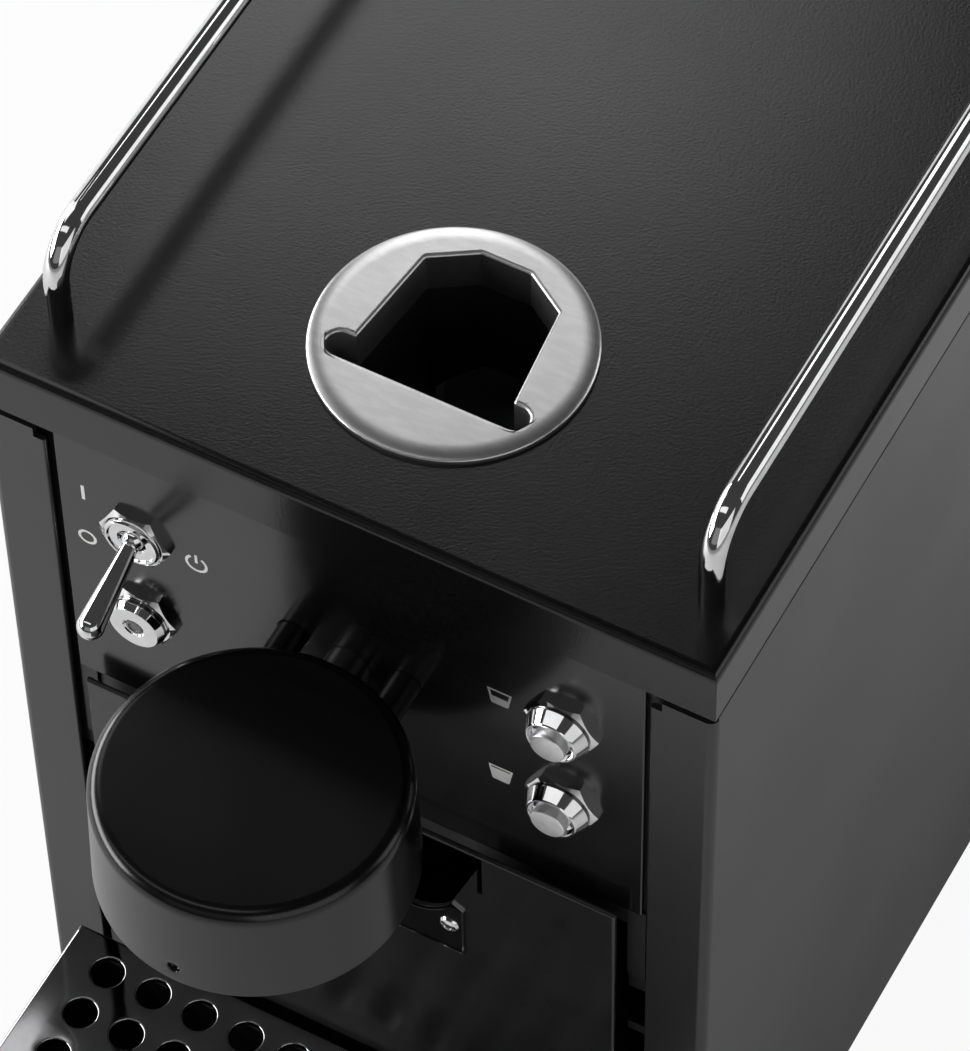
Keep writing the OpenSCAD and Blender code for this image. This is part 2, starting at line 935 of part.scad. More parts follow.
// section of a plate between a0 and a1 whose two front edges are rounded
module edge_round(a0, a1) {
  translate([a0, door_face + door_edge_r])
    square([a1 - a0, door_back - door_face - door_edge_r]);
  translate([a0 + door_edge_r, door_face])
    square([a1 - a0 - 2 * door_edge_r, door_back - door_face]);
  for (a = [a0 + door_edge_r, a1 - door_edge_r])
    translate([a, door_face + door_edge_r])
      circle(r = door_edge_r, $fn = fn_small);
}

// outline of the bare plate under the grip, drawn in by inset
module plate_shape(inset) {
  chamfer_low = grip_mid - plate_chamfer / 2;
  difference() {
    polygon([
      [-plate_x + inset, plate_low + inset],
      [plate_x - inset, plate_low + inset],
      [plate_x - inset, chamfer_low - inset / 2],
      [plate_x - plate_chamfer - inset / 2, grip_mid],
      [-plate_x + plate_chamfer + inset / 2, grip_mid],
      [-plate_x + inset, chamfer_low - inset / 2]
    ]);
    dish(grip_x + inset, grip_low - inset, grip_mid + cut, grip_r + inset);
  }
}

module bin_plate() {
  color("silver")
  at_front() {
    push_y(door_face - plate_t / 2, door_face)
      plate_shape(0);
    difference() {
      push_y(door_face - plate_t, door_face)
        plate_shape(0);
      push_y(door_face - plate_t - cut, door_face - plate_t / 2)
        plate_shape(plate_rim);
    }
    for (s = [-1, 1])
      rod_y(rivet_r, door_face - plate_t - rivet_h, door_face, s * (plate_x - rivet_in), plate_low + rivet_up,
        fn_small);
  }
}

module bin_shelf() {
  color("dimgray")
  at_front()
  difference() {
    union() {
      block(-inner_w, inner_w, frame_back, shelf_rear, shelf_z, shelf_z + shelf_t);
      for (s = [-1, 1])
        block(s * inner_w - (s + 1) / 2 * shelf_t, s * inner_w + (1 - s) / 2 * shelf_t,
          frame_back + 6, shelf_rear, shelf_z - 12, shelf_z + cut);
    }
    rod_z(tube_r + 1, shelf_z - cut, shelf_z + shelf_t + cut, hot_x, hot_d, fn_mid);
  }
}

// ---------- drip tray ----------

module drip_tray() {
  color("black")
  at_front()
  difference() {
    block(-tray_x, tray_x, tray_front, tray_back, tray_low, tray_top);
    block(-tray_x + tray_wall, tray_x - tray_wall, tray_front + tray_wall, tray_back - tray_wall,
      tray_low + tray_wall, tray_top + cut);
  }
}

// perforated plate with its edges folded down
module drip_grid() {
  grid_x = grid_w / 2;
  color("black")
  at_front()
  difference() {
    intersection() {
      push_y(-tray_d, grid_back)
        top_round(-grid_x, grid_x, grid_z - grid_fold, grid_z, bend_r);
      push_x(-grid_x, grid_x)
        top_round(-tray_d, grid_back, grid_z - grid_fold, grid_z, bend_r);
    }
    block(-grid_x + grid_t, grid_x - grid_t, -tray_d + grid_t, grid_back - grid_t,
      grid_z - grid_fold - cut, grid_z - grid_t);
    for (i = [0 : grid_cols - 1], j = [0 : grid_rows - 1])
      rod_z(grid_hole_r, grid_z - grid_t - cut, grid_z + cut,
        (i - (grid_cols - 1) / 2) * grid_pitch, grid_first - j * grid_pitch, 14);
  }
}

// ---------- water tank ----------

module water_tank() {
  color("lightgray", 0.6)
  at_front()
  difference() {
    union() {
      block(-tank_x, tank_x, tank_front, tank_rear, tank_low, tank_top);
      for (s = [-1, 1])
        rod_x(lug_r, s * lug_x - lug_w / 2, s * lug_x + lug_w / 2, hinge_y, hinge_z, fn_mid);
    }
    block(-tank_x + tank_wall, tank_x - tank_wall, tank_front + tank_wall, tank_rear - 9,
      tank_low + tank_wall, tank_top + lug_r + cut);
    block(-lug_x + lug_w / 2 + cut, lug_x - lug_w / 2 - cut, tank_front + tank_wall, tank_rear - tank_wall,
      tank_low + tank_wall, tank_top + lug_r + cut);
    rod_x(hinge_r + run_fit, -lug_x - lug_w, lug_x + lug_w, hinge_y, hinge_z, fn_small);
    rod_z(valve_r + seat_gap, tank_low - cut, tank_low + tank_wall + cut, valve_x, valve_d, fn_mid);
  }
}

module tank_lid() {
  lid_low = tank_top + lid_gap;
  plate_rear = hinge_y - lug_r - 0.6;
  color("black")
  at_front()
  difference() {
    union() {
      block(-tank_x, tank_x, tank_front, plate_rear, lid_low, lid_low + lid_t);
      block(-lug_x + lug_w, lug_x - lug_w, plate_rear - cut, hinge_y, lid_low, lid_low + lid_t);
      rod_x(hinge_r, -lug_x - lug_w / 2, lug_x + lug_w / 2, hinge_y, hinge_z, fn_small);
    }
    rod_z(finger_dip_r, lid_low + lid_t - 1, lid_low + lid_t + cut, 0, tank_front, fn_mid);
  }
}

module tank_valve() {
  valve_flange = 2;
  color("gray")
  at_front() {
    rod_z(valve_r, valve_low, tank_low + tank_wall + 8, valve_x, valve_d, fn_mid);
    rod_z(valve_r + 2, tank_low + tank_wall, tank_low + tank_wall + valve_flange, valve_x, valve_d, fn_mid);
  }
}

// ---------- brew unit ----------

module brew_bracket() {
  color("dimgray")
  at_front()
  difference() {
    union() {
      block(-inner_w, inner_w, bracket_front, bracket_rear, bracket_low, brew_low);
      for (s = [-1, 1])
        block(s * inner_w - (s + 1) / 2 * bracket_t, s * inner_w + (1 - s) / 2 * bracket_t,
          bracket_front, bracket_rear, bracket_low - bracket_fold, brew_low);
    }
    block(-bracket_open_x, bracket_open_x, bracket_open_front, bracket_open_rear, bracket_low - cut,
      brew_low + cut);
    rod_z(tube_r + 1, bracket_low - cut, brew_low + cut, hot_x, hot_d, fn_mid);
  }
}

module brew_frame() {
  pocket_low = brew_low - cut;
  pocket_high = finger_pin_z + finger_eye_r + pocket_gap;
  pocket_x = finger_pin_x + finger_eye_r + pocket_gap;
  color("gray")
  at_front()
  union() {
    difference() {
      block(-brew_x, brew_x, brew_front, brew_rear, brew_low, brew_high);
      translate([0, ring_d, brew_low - cut])
        linear_extrude(height = brew_high - brew_low + 2 * cut)
          slot_shape(slot_grow);
      rod_y(piston_r + slide_gap, bore_front, brew_rear + cut, 0, brew_axis_z, fn_big);
      for (s = [-1, 1])
        rod_y(head_rod_r, brew_front - cut, head_rod_rear, s * head_rod_x, head_rod_z, fn_mid);
      rod_y(pipe_r, brew_front - cut, pipe_rear, 0, pipe_z, fn_mid);
      rod_y(pipe_bore_r, pipe_rear - cut, ring_d, 0, pipe_z, fn_small);
      block(-pocket_x, pocket_x, finger_front - pocket_gap, finger_rear + pocket_gap,
        pocket_low, pocket_high);
      rod_x(tube_r, brew_x - tube_in, brew_x + cut, hot_d, brew_axis_z, fn_mid);
      rod_x(water_r, 0, brew_x - tube_in + cut, hot_d, brew_axis_z, fn_small);
    }
    for (s = [-1, 1])
      rod_y(finger_pin_r, finger_front - pocket_gap - 1, finger_rear + pocket_gap + 1,
        s * finger_pin_x, finger_pin_z, fn_small);
  }
}

module brew_piston() {
  color("silver")
  at_front()
  difference() {
    rod_y(piston_r, piston_front, piston_rear, 0, brew_axis_z, fn_big);
    rod_y(cup_r, piston_front - cut, piston_front + cup_len, 0, brew_axis_z, fn_big);
    rod_y(water_r, piston_front, piston_rear + cut, 0, brew_axis_z, fn_small);
  }
}

// closes the bore behind the piston, where the hot water comes in
module brew_cap() {
  color("silver")
  at_front() {
    rod_y(piston_r + slide_gap, brew_rear - cap_plug, brew_rear + cut, 0, brew_axis_z, fn_big);
    rod_y(cap_flange_r, brew_rear, brew_rear + cap_t, 0, brew_axis_z, fn_big);
  }
}

// finger that holds the capsule rim from below; s is -1 on the left, 1 on the right
module finger(s) {
  color("gray")
  at_front()
  difference() {
    union() {
      rod_y(finger_eye_r, finger_front, finger_rear, s * finger_pin_x, finger_pin_z, fn_mid);
      mirror([(1 - s) / 2, 0, 0])
        block(finger_pin_x - finger_reach, finger_pin_x, finger_front, finger_rear,
          finger_pin_z - finger_eye_r, finger_pin_z - finger_eye_r + finger_h);
    }
    rod_y(finger_pin_r + run_fit, finger_front - cut, finger_rear + cut, s * finger_pin_x, finger_pin_z,
      fn_small);
  }
}

// ---------- water path ----------

module pump() {
  color("dimgray")
  at_front()
  difference() {
    union() {
      rod_y(pump_r, pump_front, pump_rear, valve_x, pump_z, fn_mid);
      rod_y(pump_neck_r, pump_front - pump_neck, pump_rear + 4, valve_x, pump_z, fn_mid);
      block(valve_x - pump_foot_x, valve_x + pump_foot_x, pump_front + 8, pump_rear - 8, pan_z, pump_z);
    }
    rod_y(tube_r, pump_rear - tube_in, pump_rear + 4 + cut, valve_x, pump_z, fn_mid);
    rod_x(tube_r, valve_x + tube_in / 2, valve_x + pump_neck_r + cut, pump_front - pump_neck / 2, pump_z,
      fn_mid);
  }
}

module boiler() {
  post_in = 8;
  color("silver")
  at_front()
  difference() {
    union() {
      block(boiler_x0, boiler_x1, boiler_front, boiler_rear, boiler_low, boiler_high);
      for (x = [boiler_x0 + post_in, boiler_x1 - post_in],
        y = [boiler_front + post_in, boiler_rear - post_in])
        rod_z(boiler_post_r, pan_z, boiler_low + cut, x, y, fn_small);
    }
    rod_x(tube_r, boiler_x0 - cut, boiler_x0 + tube_in, pump_front - pump_neck / 2, pump_z, fn_mid);
    rod_z(tube_r, boiler_high - tube_in, boiler_high + cut, hot_x, hot_d, fn_mid);
  }
}

module circuit_board() {
  board_face = rear_in - pan_t - board_gap - board_t;
  relay_w = 14;
  color("green")
  at_front() {
    block(-board_x, board_x, board_face, board_face + board_t, board_low, board_high);
    for (x = [-board_x + 5, board_x - 5], z = [board_low + 5, board_high - 5])
      rod_y(board_post_r, board_face + board_t - cut, rear_in - pan_t, x, z, fn_small);
    for (i = [-1, 1])
      block(i * 16 - relay_w / 2, i * 16 + relay_w / 2, board_face - relay_w, board_face + cut,
        board_low + 10, board_low + 10 + relay_w);
  }
}

// from the valve seat down and forward into the pump
module tube_suction() {
  seat_h = 6;
  color("white")
  at_front()
  difference() {
    union() {
      rod_y(tube_r, pump_rear - tube_in, valve_d, valve_x, pump_z, fn_mid);
      rod_z(valve_hole_r + 2, pan_z, valve_low + 3, valve_x, valve_d, fn_mid);
    }
    rod_z(valve_r + slide_gap, valve_low + 3 - seat_h, valve_low + 3 + cut, valve_x, valve_d, fn_mid);
  }
}

// from the pump's outlet across to the boiler
module tube_pressure() {
  color("white")
  at_front()
    rod_x(tube_r, valve_x + tube_in / 2, boiler_x0 + tube_in, pump_front - pump_neck / 2, pump_z, fn_mid);
}

// from the top of the boiler up to the back of the brew unit
module tube_hot() {
  color("white")
  at_front() {
    rod_z(tube_r, boiler_high - tube_in, brew_axis_z - tube_elbow, hot_x, hot_d, fn_mid);
    translate([hot_x - tube_elbow, hot_d, brew_axis_z - tube_elbow])
      rotate([90, 0, 0])
        rotate_extrude(angle = 90, $fn = fn_mid)
          translate([tube_elbow, 0])
            circle(r = tube_r, $fn = fn_mid);
    rod_x(tube_r, brew_x - tube_in, hot_x - tube_elbow, hot_d, brew_axis_z, fn_mid);
  }
}

// mains inlet with three flat pins in a deep mouth
module power_inlet() {
  mouth = 14;
  rim = 2;
  pin_w = 2;
  pin_h = 4;
  pin_long = 8.5;
  color("black")
  at_front()
  translate([inlet_x, case_d + tank_d, inlet_z]) {
    difference() {
      union() {
        block(-inlet_w / 2, inlet_w / 2, -inlet_deep, rim / 2, -inlet_h / 2, inlet_h / 2);
        block(-inlet_w / 2 - rim, inlet_w / 2 + rim, 0, rim / 2, -inlet_h / 2 - rim, inlet_h / 2 + rim);
      }
      block(-inlet_w / 2 + rim, inlet_w / 2 - rim, -mouth, rim, -inlet_h / 2 + rim, inlet_h / 2 - rim);
    }
    for (i = [-1 : 1])
      translate([i * 7, 0, i == 0 ? 3 : -2])
        block(-pin_w / 2, pin_w / 2, -mouth - cut, -mouth + pin_long, -pin_h / 2, pin_h / 2);
  }
}

// ---------- nodes ----------

base_pan();
side_panel(-1);  // side_left
side_panel(1);  // side_right
lid();
rear_panel();
front_frame();
front_apron();
control_panel();
tank_base();
foot(-foot_x(), foot_rows()[0]);  // foot_1
foot(foot_x(), foot_rows()[0]);  // foot_2
foot(-foot_x(), foot_rows()[1]);  // foot_3
foot(foot_x(), foot_rows()[1]);  // foot_4
slot_ring();
chute();
rail(-rail_x);  // rail_left
rail(rail_x);  // rail_right
rail_nuts();
toggle_body();
toggle_nut();
toggle_lever();
lamp_body();
lamp_nut();
lamp_lens();
button_body(toggle_z);  // button_1_body
button_nut(toggle_z);  // button_1_nut
button_cap(toggle_z);  // button_1_cap
button_body(lamp_z);  // button_2_body
button_nut(lamp_z);  // button_2_nut
button_cap(lamp_z);  // button_2_cap
head_cap();
head_core();
head_outlet();
head_rod(-1);  // head_rod_left
head_rod(1);  // head_rod_right
head_screw();
coffee_pipe();
bin();
bin_front();
bin_plate();
drip_tray();
drip_grid();
water_tank();
tank_lid();
tank_valve();
brew_bracket();
brew_frame();
brew_piston();
brew_cap();
finger(-1);  // finger_left
finger(1);  // finger_right
bin_shelf();
pump();
boiler();
circuit_board();
tube_suction();
tube_pressure();
tube_hot();
power_inlet();
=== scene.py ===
import json
import math

import bmesh
import bpy
import numpy as np
from mathutils import Matrix, Vector


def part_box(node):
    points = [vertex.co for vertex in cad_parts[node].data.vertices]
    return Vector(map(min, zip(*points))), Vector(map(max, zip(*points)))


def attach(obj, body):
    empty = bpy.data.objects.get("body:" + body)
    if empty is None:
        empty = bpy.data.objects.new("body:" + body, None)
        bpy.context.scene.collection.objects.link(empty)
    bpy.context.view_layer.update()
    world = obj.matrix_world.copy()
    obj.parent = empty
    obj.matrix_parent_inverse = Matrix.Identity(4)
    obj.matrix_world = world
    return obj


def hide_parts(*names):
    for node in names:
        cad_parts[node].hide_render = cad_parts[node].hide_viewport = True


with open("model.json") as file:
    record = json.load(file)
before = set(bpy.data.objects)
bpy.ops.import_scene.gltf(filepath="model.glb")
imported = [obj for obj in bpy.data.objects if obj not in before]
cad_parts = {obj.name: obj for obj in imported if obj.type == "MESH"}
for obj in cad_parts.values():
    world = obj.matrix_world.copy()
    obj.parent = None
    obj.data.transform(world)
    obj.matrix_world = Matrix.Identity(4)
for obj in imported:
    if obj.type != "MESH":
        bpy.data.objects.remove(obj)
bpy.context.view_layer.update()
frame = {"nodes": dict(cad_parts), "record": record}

mm = 0.001
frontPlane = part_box("side_left")[0].y / mm  # Y of the case front; depths are measured from it
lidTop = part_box("lid")[1].z / mm
nodes = frame["nodes"]
print("frame loaded:", len(nodes), "nodes")


# Surfaces. Points are (across, depth behind the case front, height) in mm.

def place(points):
    points = np.asarray(points, float).reshape(-1, 3).copy()
    points[:, 1] += frontPlane
    return points * mm


def gridFaces(rows, cols, wrapRows=False, wrapCols=False):
    # one quad between each point of the grid, the next one along and the two of the next row
    r = np.arange(rows if wrapRows else rows - 1)[:, None]
    c = np.arange(cols if wrapCols else cols - 1)[None, :]
    nextRow, nextCol = (r + 1) % rows, (c + 1) % cols
    corners = (r * cols + c, r * cols + nextCol, nextRow * cols + nextCol, nextRow * cols + c)
    return np.stack(np.broadcast_arrays(*corners), -1).reshape(-1, 4)


def joined(shells):
    # several (points, faces) shells as one, the face numbers moved on by the points before them
    points, faces, start = [], [], 0
    for shellPoints, shellFaces in shells:
        shellPoints = np.asarray(shellPoints, float).reshape(-1, 3)
        if isinstance(shellFaces, np.ndarray):
            shellFaces = shellFaces.tolist()
        points.append(shellPoints)
        faces += [[i + start for i in face] for face in shellFaces]
        start += len(shellPoints)
    return np.concatenate(points), faces


def addPiece(name, shells, material, body, replaced=(), sharpAngle=34, weighted=True):
    points, faces = joined(shells)
    mesh = bpy.data.meshes.new(name)
    mesh.from_pydata(place(points).tolist(), [], faces)
    work = bmesh.new()
    work.from_mesh(mesh)
    bmesh.ops.remove_doubles(work, verts=work.verts, dist=2e-6)
    bmesh.ops.dissolve_degenerate(work, edges=work.edges, dist=1e-7)
    bmesh.ops.recalc_face_normals(work, faces=work.faces)
    work.to_mesh(mesh)
    work.free()
    mesh.shade_smooth()
    mesh.set_sharp_from_angle(angle=math.radians(sharpAngle))
    mesh.materials.append(material)
    piece = bpy.data.objects.new(name, mesh)
    bpy.context.scene.collection.objects.link(piece)
    if weighted:
        weigh(piece)
    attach(piece, body)
    if replaced:
        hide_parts(*replaced)
    return piece


def weigh(piece):
    # big flat faces keep their own normal where they meet a rounded edge
    modifier = piece.modifiers.new("shading", "WEIGHTED_NORMAL")
    modifier.keep_sharp = True
    modifier.weight = 60


def roundedPath(corners, radii, steps=6):
    # closed outline: each corner becomes an arc whose ends lie radius / tan(half the corner angle)
    # away from it, about a centre on the bisector; radius 0 keeps the corner
    corners = np.asarray(corners, float)
    radii = np.broadcast_to(np.asarray(radii, float), len(corners))
    before = np.roll(corners, 1, 0) - corners
    after = np.roll(corners, -1, 0) - corners
    before /= np.linalg.norm(before, axis=1)[:, None]
    after /= np.linalg.norm(after, axis=1)[:, None]
    half = np.arccos(np.clip((before * after).sum(1), -1, 1)) / 2
    bisector = before + after
    bisector /= np.linalg.norm(bisector, axis=1)[:, None]
    centre = corners + bisector * (radii / np.sin(half))[:, None]
    first = corners + before * (radii / np.tan(half))[:, None] - centre
    last = corners + after * (radii / np.tan(half))[:, None] - centre
    start = np.arctan2(first[:, 1], first[:, 0])
    sweep = (np.arctan2(last[:, 1], last[:, 0]) - start + np.pi) % (2 * np.pi) - np.pi
    angle = start[:, None] + sweep[:, None] * np.linspace(0, 1, steps + 1)
    arc = np.stack([np.cos(angle), np.sin(angle)], -1) * radii[:, None, None] + centre[:, None]
    path = arc.reshape(-1, 2)
    keep = np.linalg.norm(path - np.roll(path, 1, 0), axis=1) > 1e-6
    return path[keep]


def refined(outline, step):
    # closed outline with extra points on its long stretches, at most step apart
    ends = np.roll(outline, -1, 0)
    length = np.linalg.norm(ends - outline, axis=1)
    counts = np.maximum(1, np.ceil(length / step).astype(int))
    share = np.concatenate([np.arange(n) / n for n in counts])[:, None]
    return np.repeat(outline, counts, 0) * (1 - share) + np.repeat(ends, counts, 0) * share


def outwards(outline):
    # unit normals of a closed counter-clockwise outline, the mean of its two edges' normals
    edge = np.roll(outline, -1, 0) - outline
    normal = np.stack([edge[:, 1], -edge[:, 0]], -1)
    normal /= np.linalg.norm(normal, axis=1)[:, None]
    mean = normal + np.roll(normal, 1, 0)
    return mean / np.linalg.norm(mean, axis=1)[:, None]


def revolved(profile, centre, axis=(0, 0, 1), steps=96, closed=False):
    # profile points (radius, distance along the axis) turned about the axis through centre
    profile = np.asarray(profile, float)
    axis = np.asarray(axis, float) / np.linalg.norm(axis)
    side = np.cross(axis, (0, 0, 1) if abs(axis[2]) < 0.9 else (1, 0, 0))
    side /= np.linalg.norm(side)
    other = np.cross(axis, side)
    turn = np.linspace(0, 2 * np.pi, steps, endpoint=False)[:, None, None]
    ring = np.cos(turn) * side + np.sin(turn) * other
    points = np.asarray(centre, float) + ring * profile[None, :, :1] + axis * profile[None, :, 1:]
    return points, gridFaces(steps, len(profile), True, closed)


def softened(profile, radii, steps=5):
    # open profile whose inner corners are rounded: the closed rounding with its two ends put back
    profile = np.asarray(profile, float)
    inner = profile[1:-1]
    radii = np.broadcast_to(np.asarray(radii, float), len(inner))
    pieces = [profile[:1]]
    for corner, before, after, radius in zip(inner, profile[:-2], profile[2:], radii):
        if radius <= 0:
            pieces.append(corner[None])
            continue
        a, b = before - corner, after - corner
        a, b = a / np.linalg.norm(a), b / np.linalg.norm(b)
        half = math.acos(np.clip(a @ b, -1, 1)) / 2
        share = np.linspace(-1, 1, steps + 1)[:, None]
        middle = (a + b) / np.linalg.norm(a + b)
        across = (b - a) / np.linalg.norm(b - a)
        swing = share * (math.pi / 2 - half)
        pieces.append(corner + middle * (radius / math.sin(half))
                      - radius * (np.cos(swing) * middle - np.sin(swing) * across))
    return np.concatenate(pieces + [profile[-1:]])


def tube(path, radius, binormal=(1, 0, 0), steps=32):
    # circle carried along a flat path; its two axes are the binormal and the normal in the path's plane
    path = np.asarray(path, float)
    along = np.gradient(path, axis=0)
    along /= np.linalg.norm(along, axis=1)[:, None]
    binormal = np.asarray(binormal, float)
    normal = np.cross(along, binormal)
    turn = np.linspace(0, 2 * np.pi, steps, endpoint=False)
    radius = np.broadcast_to(np.asarray(radius, float), len(path))[:, None, None]
    points = path[:, None] + radius * (np.cos(turn)[None, :, None] * normal[:, None]
                                       + np.sin(turn)[None, :, None] * binormal)
    faces = gridFaces(len(path), steps, False, True).tolist()
    faces += [list(range(steps)), list(range((len(path) - 1) * steps, len(path) * steps))]
    return points, faces


def upright(outline, depth):
    # an outline of (across, height) set up at one depth
    return np.column_stack([outline[:, 0], np.full(len(outline), depth), outline[:, 1]])


def slab(outline, low, high):
    # closed outline of (across, height) pushed from depth low to depth high
    outline = np.asarray(outline, float)
    count = len(outline)
    faces = gridFaces(2, count, False, True).tolist()
    faces += [list(range(count)), list(range(count, 2 * count))]
    return np.concatenate([upright(outline, low), upright(outline, high)]), faces


def ringSlab(outer, inner, low, high):
    # flat band between two closed outlines with the same number of points, pushed from low to high
    rings = [upright(outer, low), upright(outer, high), upright(inner, high), upright(inner, low)]
    return np.concatenate(rings), gridFaces(4, len(outer), True, True)


# Finishes. Patterns read object coordinates, which are metres in the frame.

def newMaterial(name):
    material = bpy.data.materials.new(name)
    material.use_nodes = True
    tree = material.node_tree
    tree.nodes.clear()
    output = tree.nodes.new("ShaderNodeOutputMaterial")
    shader = tree.nodes.new("ShaderNodeBsdfPrincipled")
    tree.links.new(shader.outputs["BSDF"], output.inputs["Surface"])
    where = tree.nodes.new("ShaderNodeTexCoord")
    return material, tree, shader, where.outputs["Object"]


def noiseAt(tree, where, scale, detail=3.0, stretch=None, roughness=0.5):
    if stretch:
        mapping = tree.nodes.new("ShaderNodeMapping")
        mapping.inputs["Scale"].default_value = stretch
        tree.links.new(where, mapping.inputs["Vector"])
        where = mapping.outputs["Vector"]
    noise = tree.nodes.new("ShaderNodeTexNoise")
    noise.inputs["Scale"].default_value = scale
    noise.inputs["Detail"].default_value = detail
    noise.inputs["Roughness"].default_value = roughness
    tree.links.new(where, noise.inputs["Vector"])
    return noise.outputs["Fac"]


def spread(tree, value, low, high, fromLow=0.3, fromHigh=0.7):
    # a pattern's value stretched to run from low to high
    node = tree.nodes.new("ShaderNodeMapRange")
    node.inputs["From Min"].default_value = fromLow
    node.inputs["From Max"].default_value = fromHigh
    node.inputs["To Min"].default_value = low
    node.inputs["To Max"].default_value = high
    node.interpolation_type = "SMOOTHSTEP"
    tree.links.new(value, node.inputs["Value"])
    return node.outputs["Result"]


def bumpFrom(tree, height, shader, distance):
    bump = tree.nodes.new("ShaderNodeBump")
    bump.inputs["Distance"].default_value = distance
    bump.inputs["Strength"].default_value = 1.0
    tree.links.new(height, bump.inputs["Height"])
    tree.links.new(bump.outputs["Normal"], shader.inputs["Normal"])


def mathNode(tree, operation, *values):
    # each value is a number or another node's output
    node = tree.nodes.new("ShaderNodeMath")
    node.operation = operation
    for socket, value in zip(node.inputs, values):
        if isinstance(value, float):
            socket.default_value = value
        else:
            tree.links.new(value, socket)
    return node.outputs[0]


def twoTone(tree, value, dark, light):
    ramp = tree.nodes.new("ShaderNodeMix")
    ramp.data_type = "RGBA"
    ramp.inputs["A"].default_value = (*dark, 1)
    ramp.inputs["B"].default_value = (*light, 1)
    tree.links.new(value, ramp.inputs["Factor"])
    return ramp.outputs["Result"]


# dark and light are the grain's two tones, grain and wave its fine and slow pattern per metre, depth in metres
paintLooks = {
    "lidPaint": dict(dark=0.002, light=0.006, rough=(0.20, 0.23), grain=1700, depth=0.000021,
                     wave=22, detail=2),
    "sidePaint": dict(dark=0.009, light=0.013, rough=(0.30, 0.34), grain=2200, depth=0.000010,
                      wave=14, index=1.6),
    "headPaint": dict(dark=0.0008, light=0.002, rough=(0.19, 0.23), grain=2400, depth=0.000006,
                      wave=25, detail=2),
    "panelPaint": dict(dark=0.003, light=0.006, rough=(0.16, 0.22), grain=700, depth=0.000004,
                       wave=25, index=1.6),
    # door: the panel's gloss black with a lighter tone, a painted reflection of the light the door mirrors
    "doorPaintedReflection": dict(dark=0.009, light=0.014, rough=(0.22, 0.28), grain=500, depth=0.000006, wave=25),
    "innerSheet": dict(dark=0.006, light=0.012, rough=(0.35, 0.5), grain=900, depth=0.00002, wave=30),
}


def paint(name):
    look = paintLooks[name]
    material, tree, shader, where = newMaterial(name)
    grain = noiseAt(tree, where, look["grain"], look.get("detail", 4), roughness=0.6)
    wave = noiseAt(tree, where, look["wave"], 2)
    tone = twoTone(tree, spread(tree, grain, 0, 1), (look["dark"],) * 3, (look["light"],) * 3)
    tree.links.new(tone, shader.inputs["Base Color"])
    tree.links.new(spread(tree, wave, *look["rough"]), shader.inputs["Roughness"])
    bumpFrom(tree, grain, shader, look["depth"])
    shader.inputs["IOR"].default_value = look.get("index", 1.5)
    return material


def metal(name, tone, rough, brush=None, depth=0.000004, grain=260):
    # brush is the stretch of the fine lines along X, Y and Z
    material, tree, shader, where = newMaterial(name)
    shader.inputs["Metallic"].default_value = 1.0
    lines = noiseAt(tree, where, 900 if brush else grain, 3, brush)
    smear = noiseAt(tree, where, 35, 2)
    tree.links.new(twoTone(tree, spread(tree, lines, 0, 1), tuple(0.9 * t for t in tone), tone),
                   shader.inputs["Base Color"])
    tree.links.new(spread(tree, smear, *rough), shader.inputs["Roughness"])
    bumpFrom(tree, lines, shader, depth)
    return material


def plastic(name, tone, rough, depth=0.00001, grain=900, **sockets):
    material, tree, shader, where = newMaterial(name)
    fine = noiseAt(tree, where, grain, 3)
    tree.links.new(twoTone(tree, spread(tree, fine, 0, 1), tuple(0.82 * t for t in tone), tone),
                   shader.inputs["Base Color"])
    tree.links.new(spread(tree, noiseAt(tree, where, 60, 2), *rough), shader.inputs["Roughness"])
    bumpFrom(tree, fine, shader, depth)
    for socket, value in sockets.items():
        shader.inputs[socket].default_value = value
    return material


looks = {name: paint(name) for name in paintLooks}
looks |= {
    "brushedSteel": metal("brushedSteel", (0.69, 0.69, 0.69), (0.33, 0.36), (0.25, 1, 1), 0.0000008),
    "capSteel": metal("capSteel", (0.95, 0.95, 0.95), (0.34, 0.42), None, 0.000002),
    "chrome": metal("chrome", (0.86, 0.86, 0.87), (0.04, 0.08), None, 0.0000002),
    "rivetChrome": metal("rivetChrome", (0.86, 0.86, 0.87), (0.08, 0.14), None, 0.00006, 1100),
    "gridSteel": metal("gridSteel", (0.42, 0.42, 0.43), (0.05, 0.08), None, 0.000001),
    "darkRodSteel": metal("darkRodSteel", (0.035, 0.035, 0.037), (0.28, 0.38), (0.2, 1, 0.2)),
    "bareAlloy": metal("bareAlloy", (0.62, 0.63, 0.64), (0.32, 0.48), None, 0.00001),
    "pumpSteel": metal("pumpSteel", (0.42, 0.42, 0.43), (0.25, 0.4), None, 0.00001),
    "darkPlastic": plastic("darkPlastic", (0.012, 0.012, 0.013), (0.28, 0.42)),
    "feetRubber": plastic("feetRubber", (0.018, 0.018, 0.018), (0.65, 0.85), 0.00004, 700),
    "tankPlastic": plastic("tankPlastic", (0.90, 0.93, 0.95), (0.03, 0.07), 0.0000008, 300,
                           **{"Transmission Weight": 0.95, "IOR": 1.45}),
    "lampLens": plastic("lampLens", (0.20, 0.20, 0.20), (0.12, 0.22), 0.000004, 500,
                        **{"Transmission Weight": 0.15}),
    "boardGreen": plastic("boardGreen", (0.02, 0.10, 0.045), (0.25, 0.4), 0.00002, 500),
    "tubeRubber": plastic("tubeRubber", (0.80, 0.78, 0.74), (0.3, 0.45), 0.000006, 400,
                          **{"Transmission Weight": 0.3}),
    "silverPrint": metal("silverPrint", (0.95, 0.95, 0.94), (0.36, 0.46), None, 0.000003),
    "plaqueBlack": plastic("plaqueBlack", (0.004, 0.004, 0.004), (0.3, 0.4), 0.000004, 900, IOR=1.2),
}
print("finishes made:", len(looks))

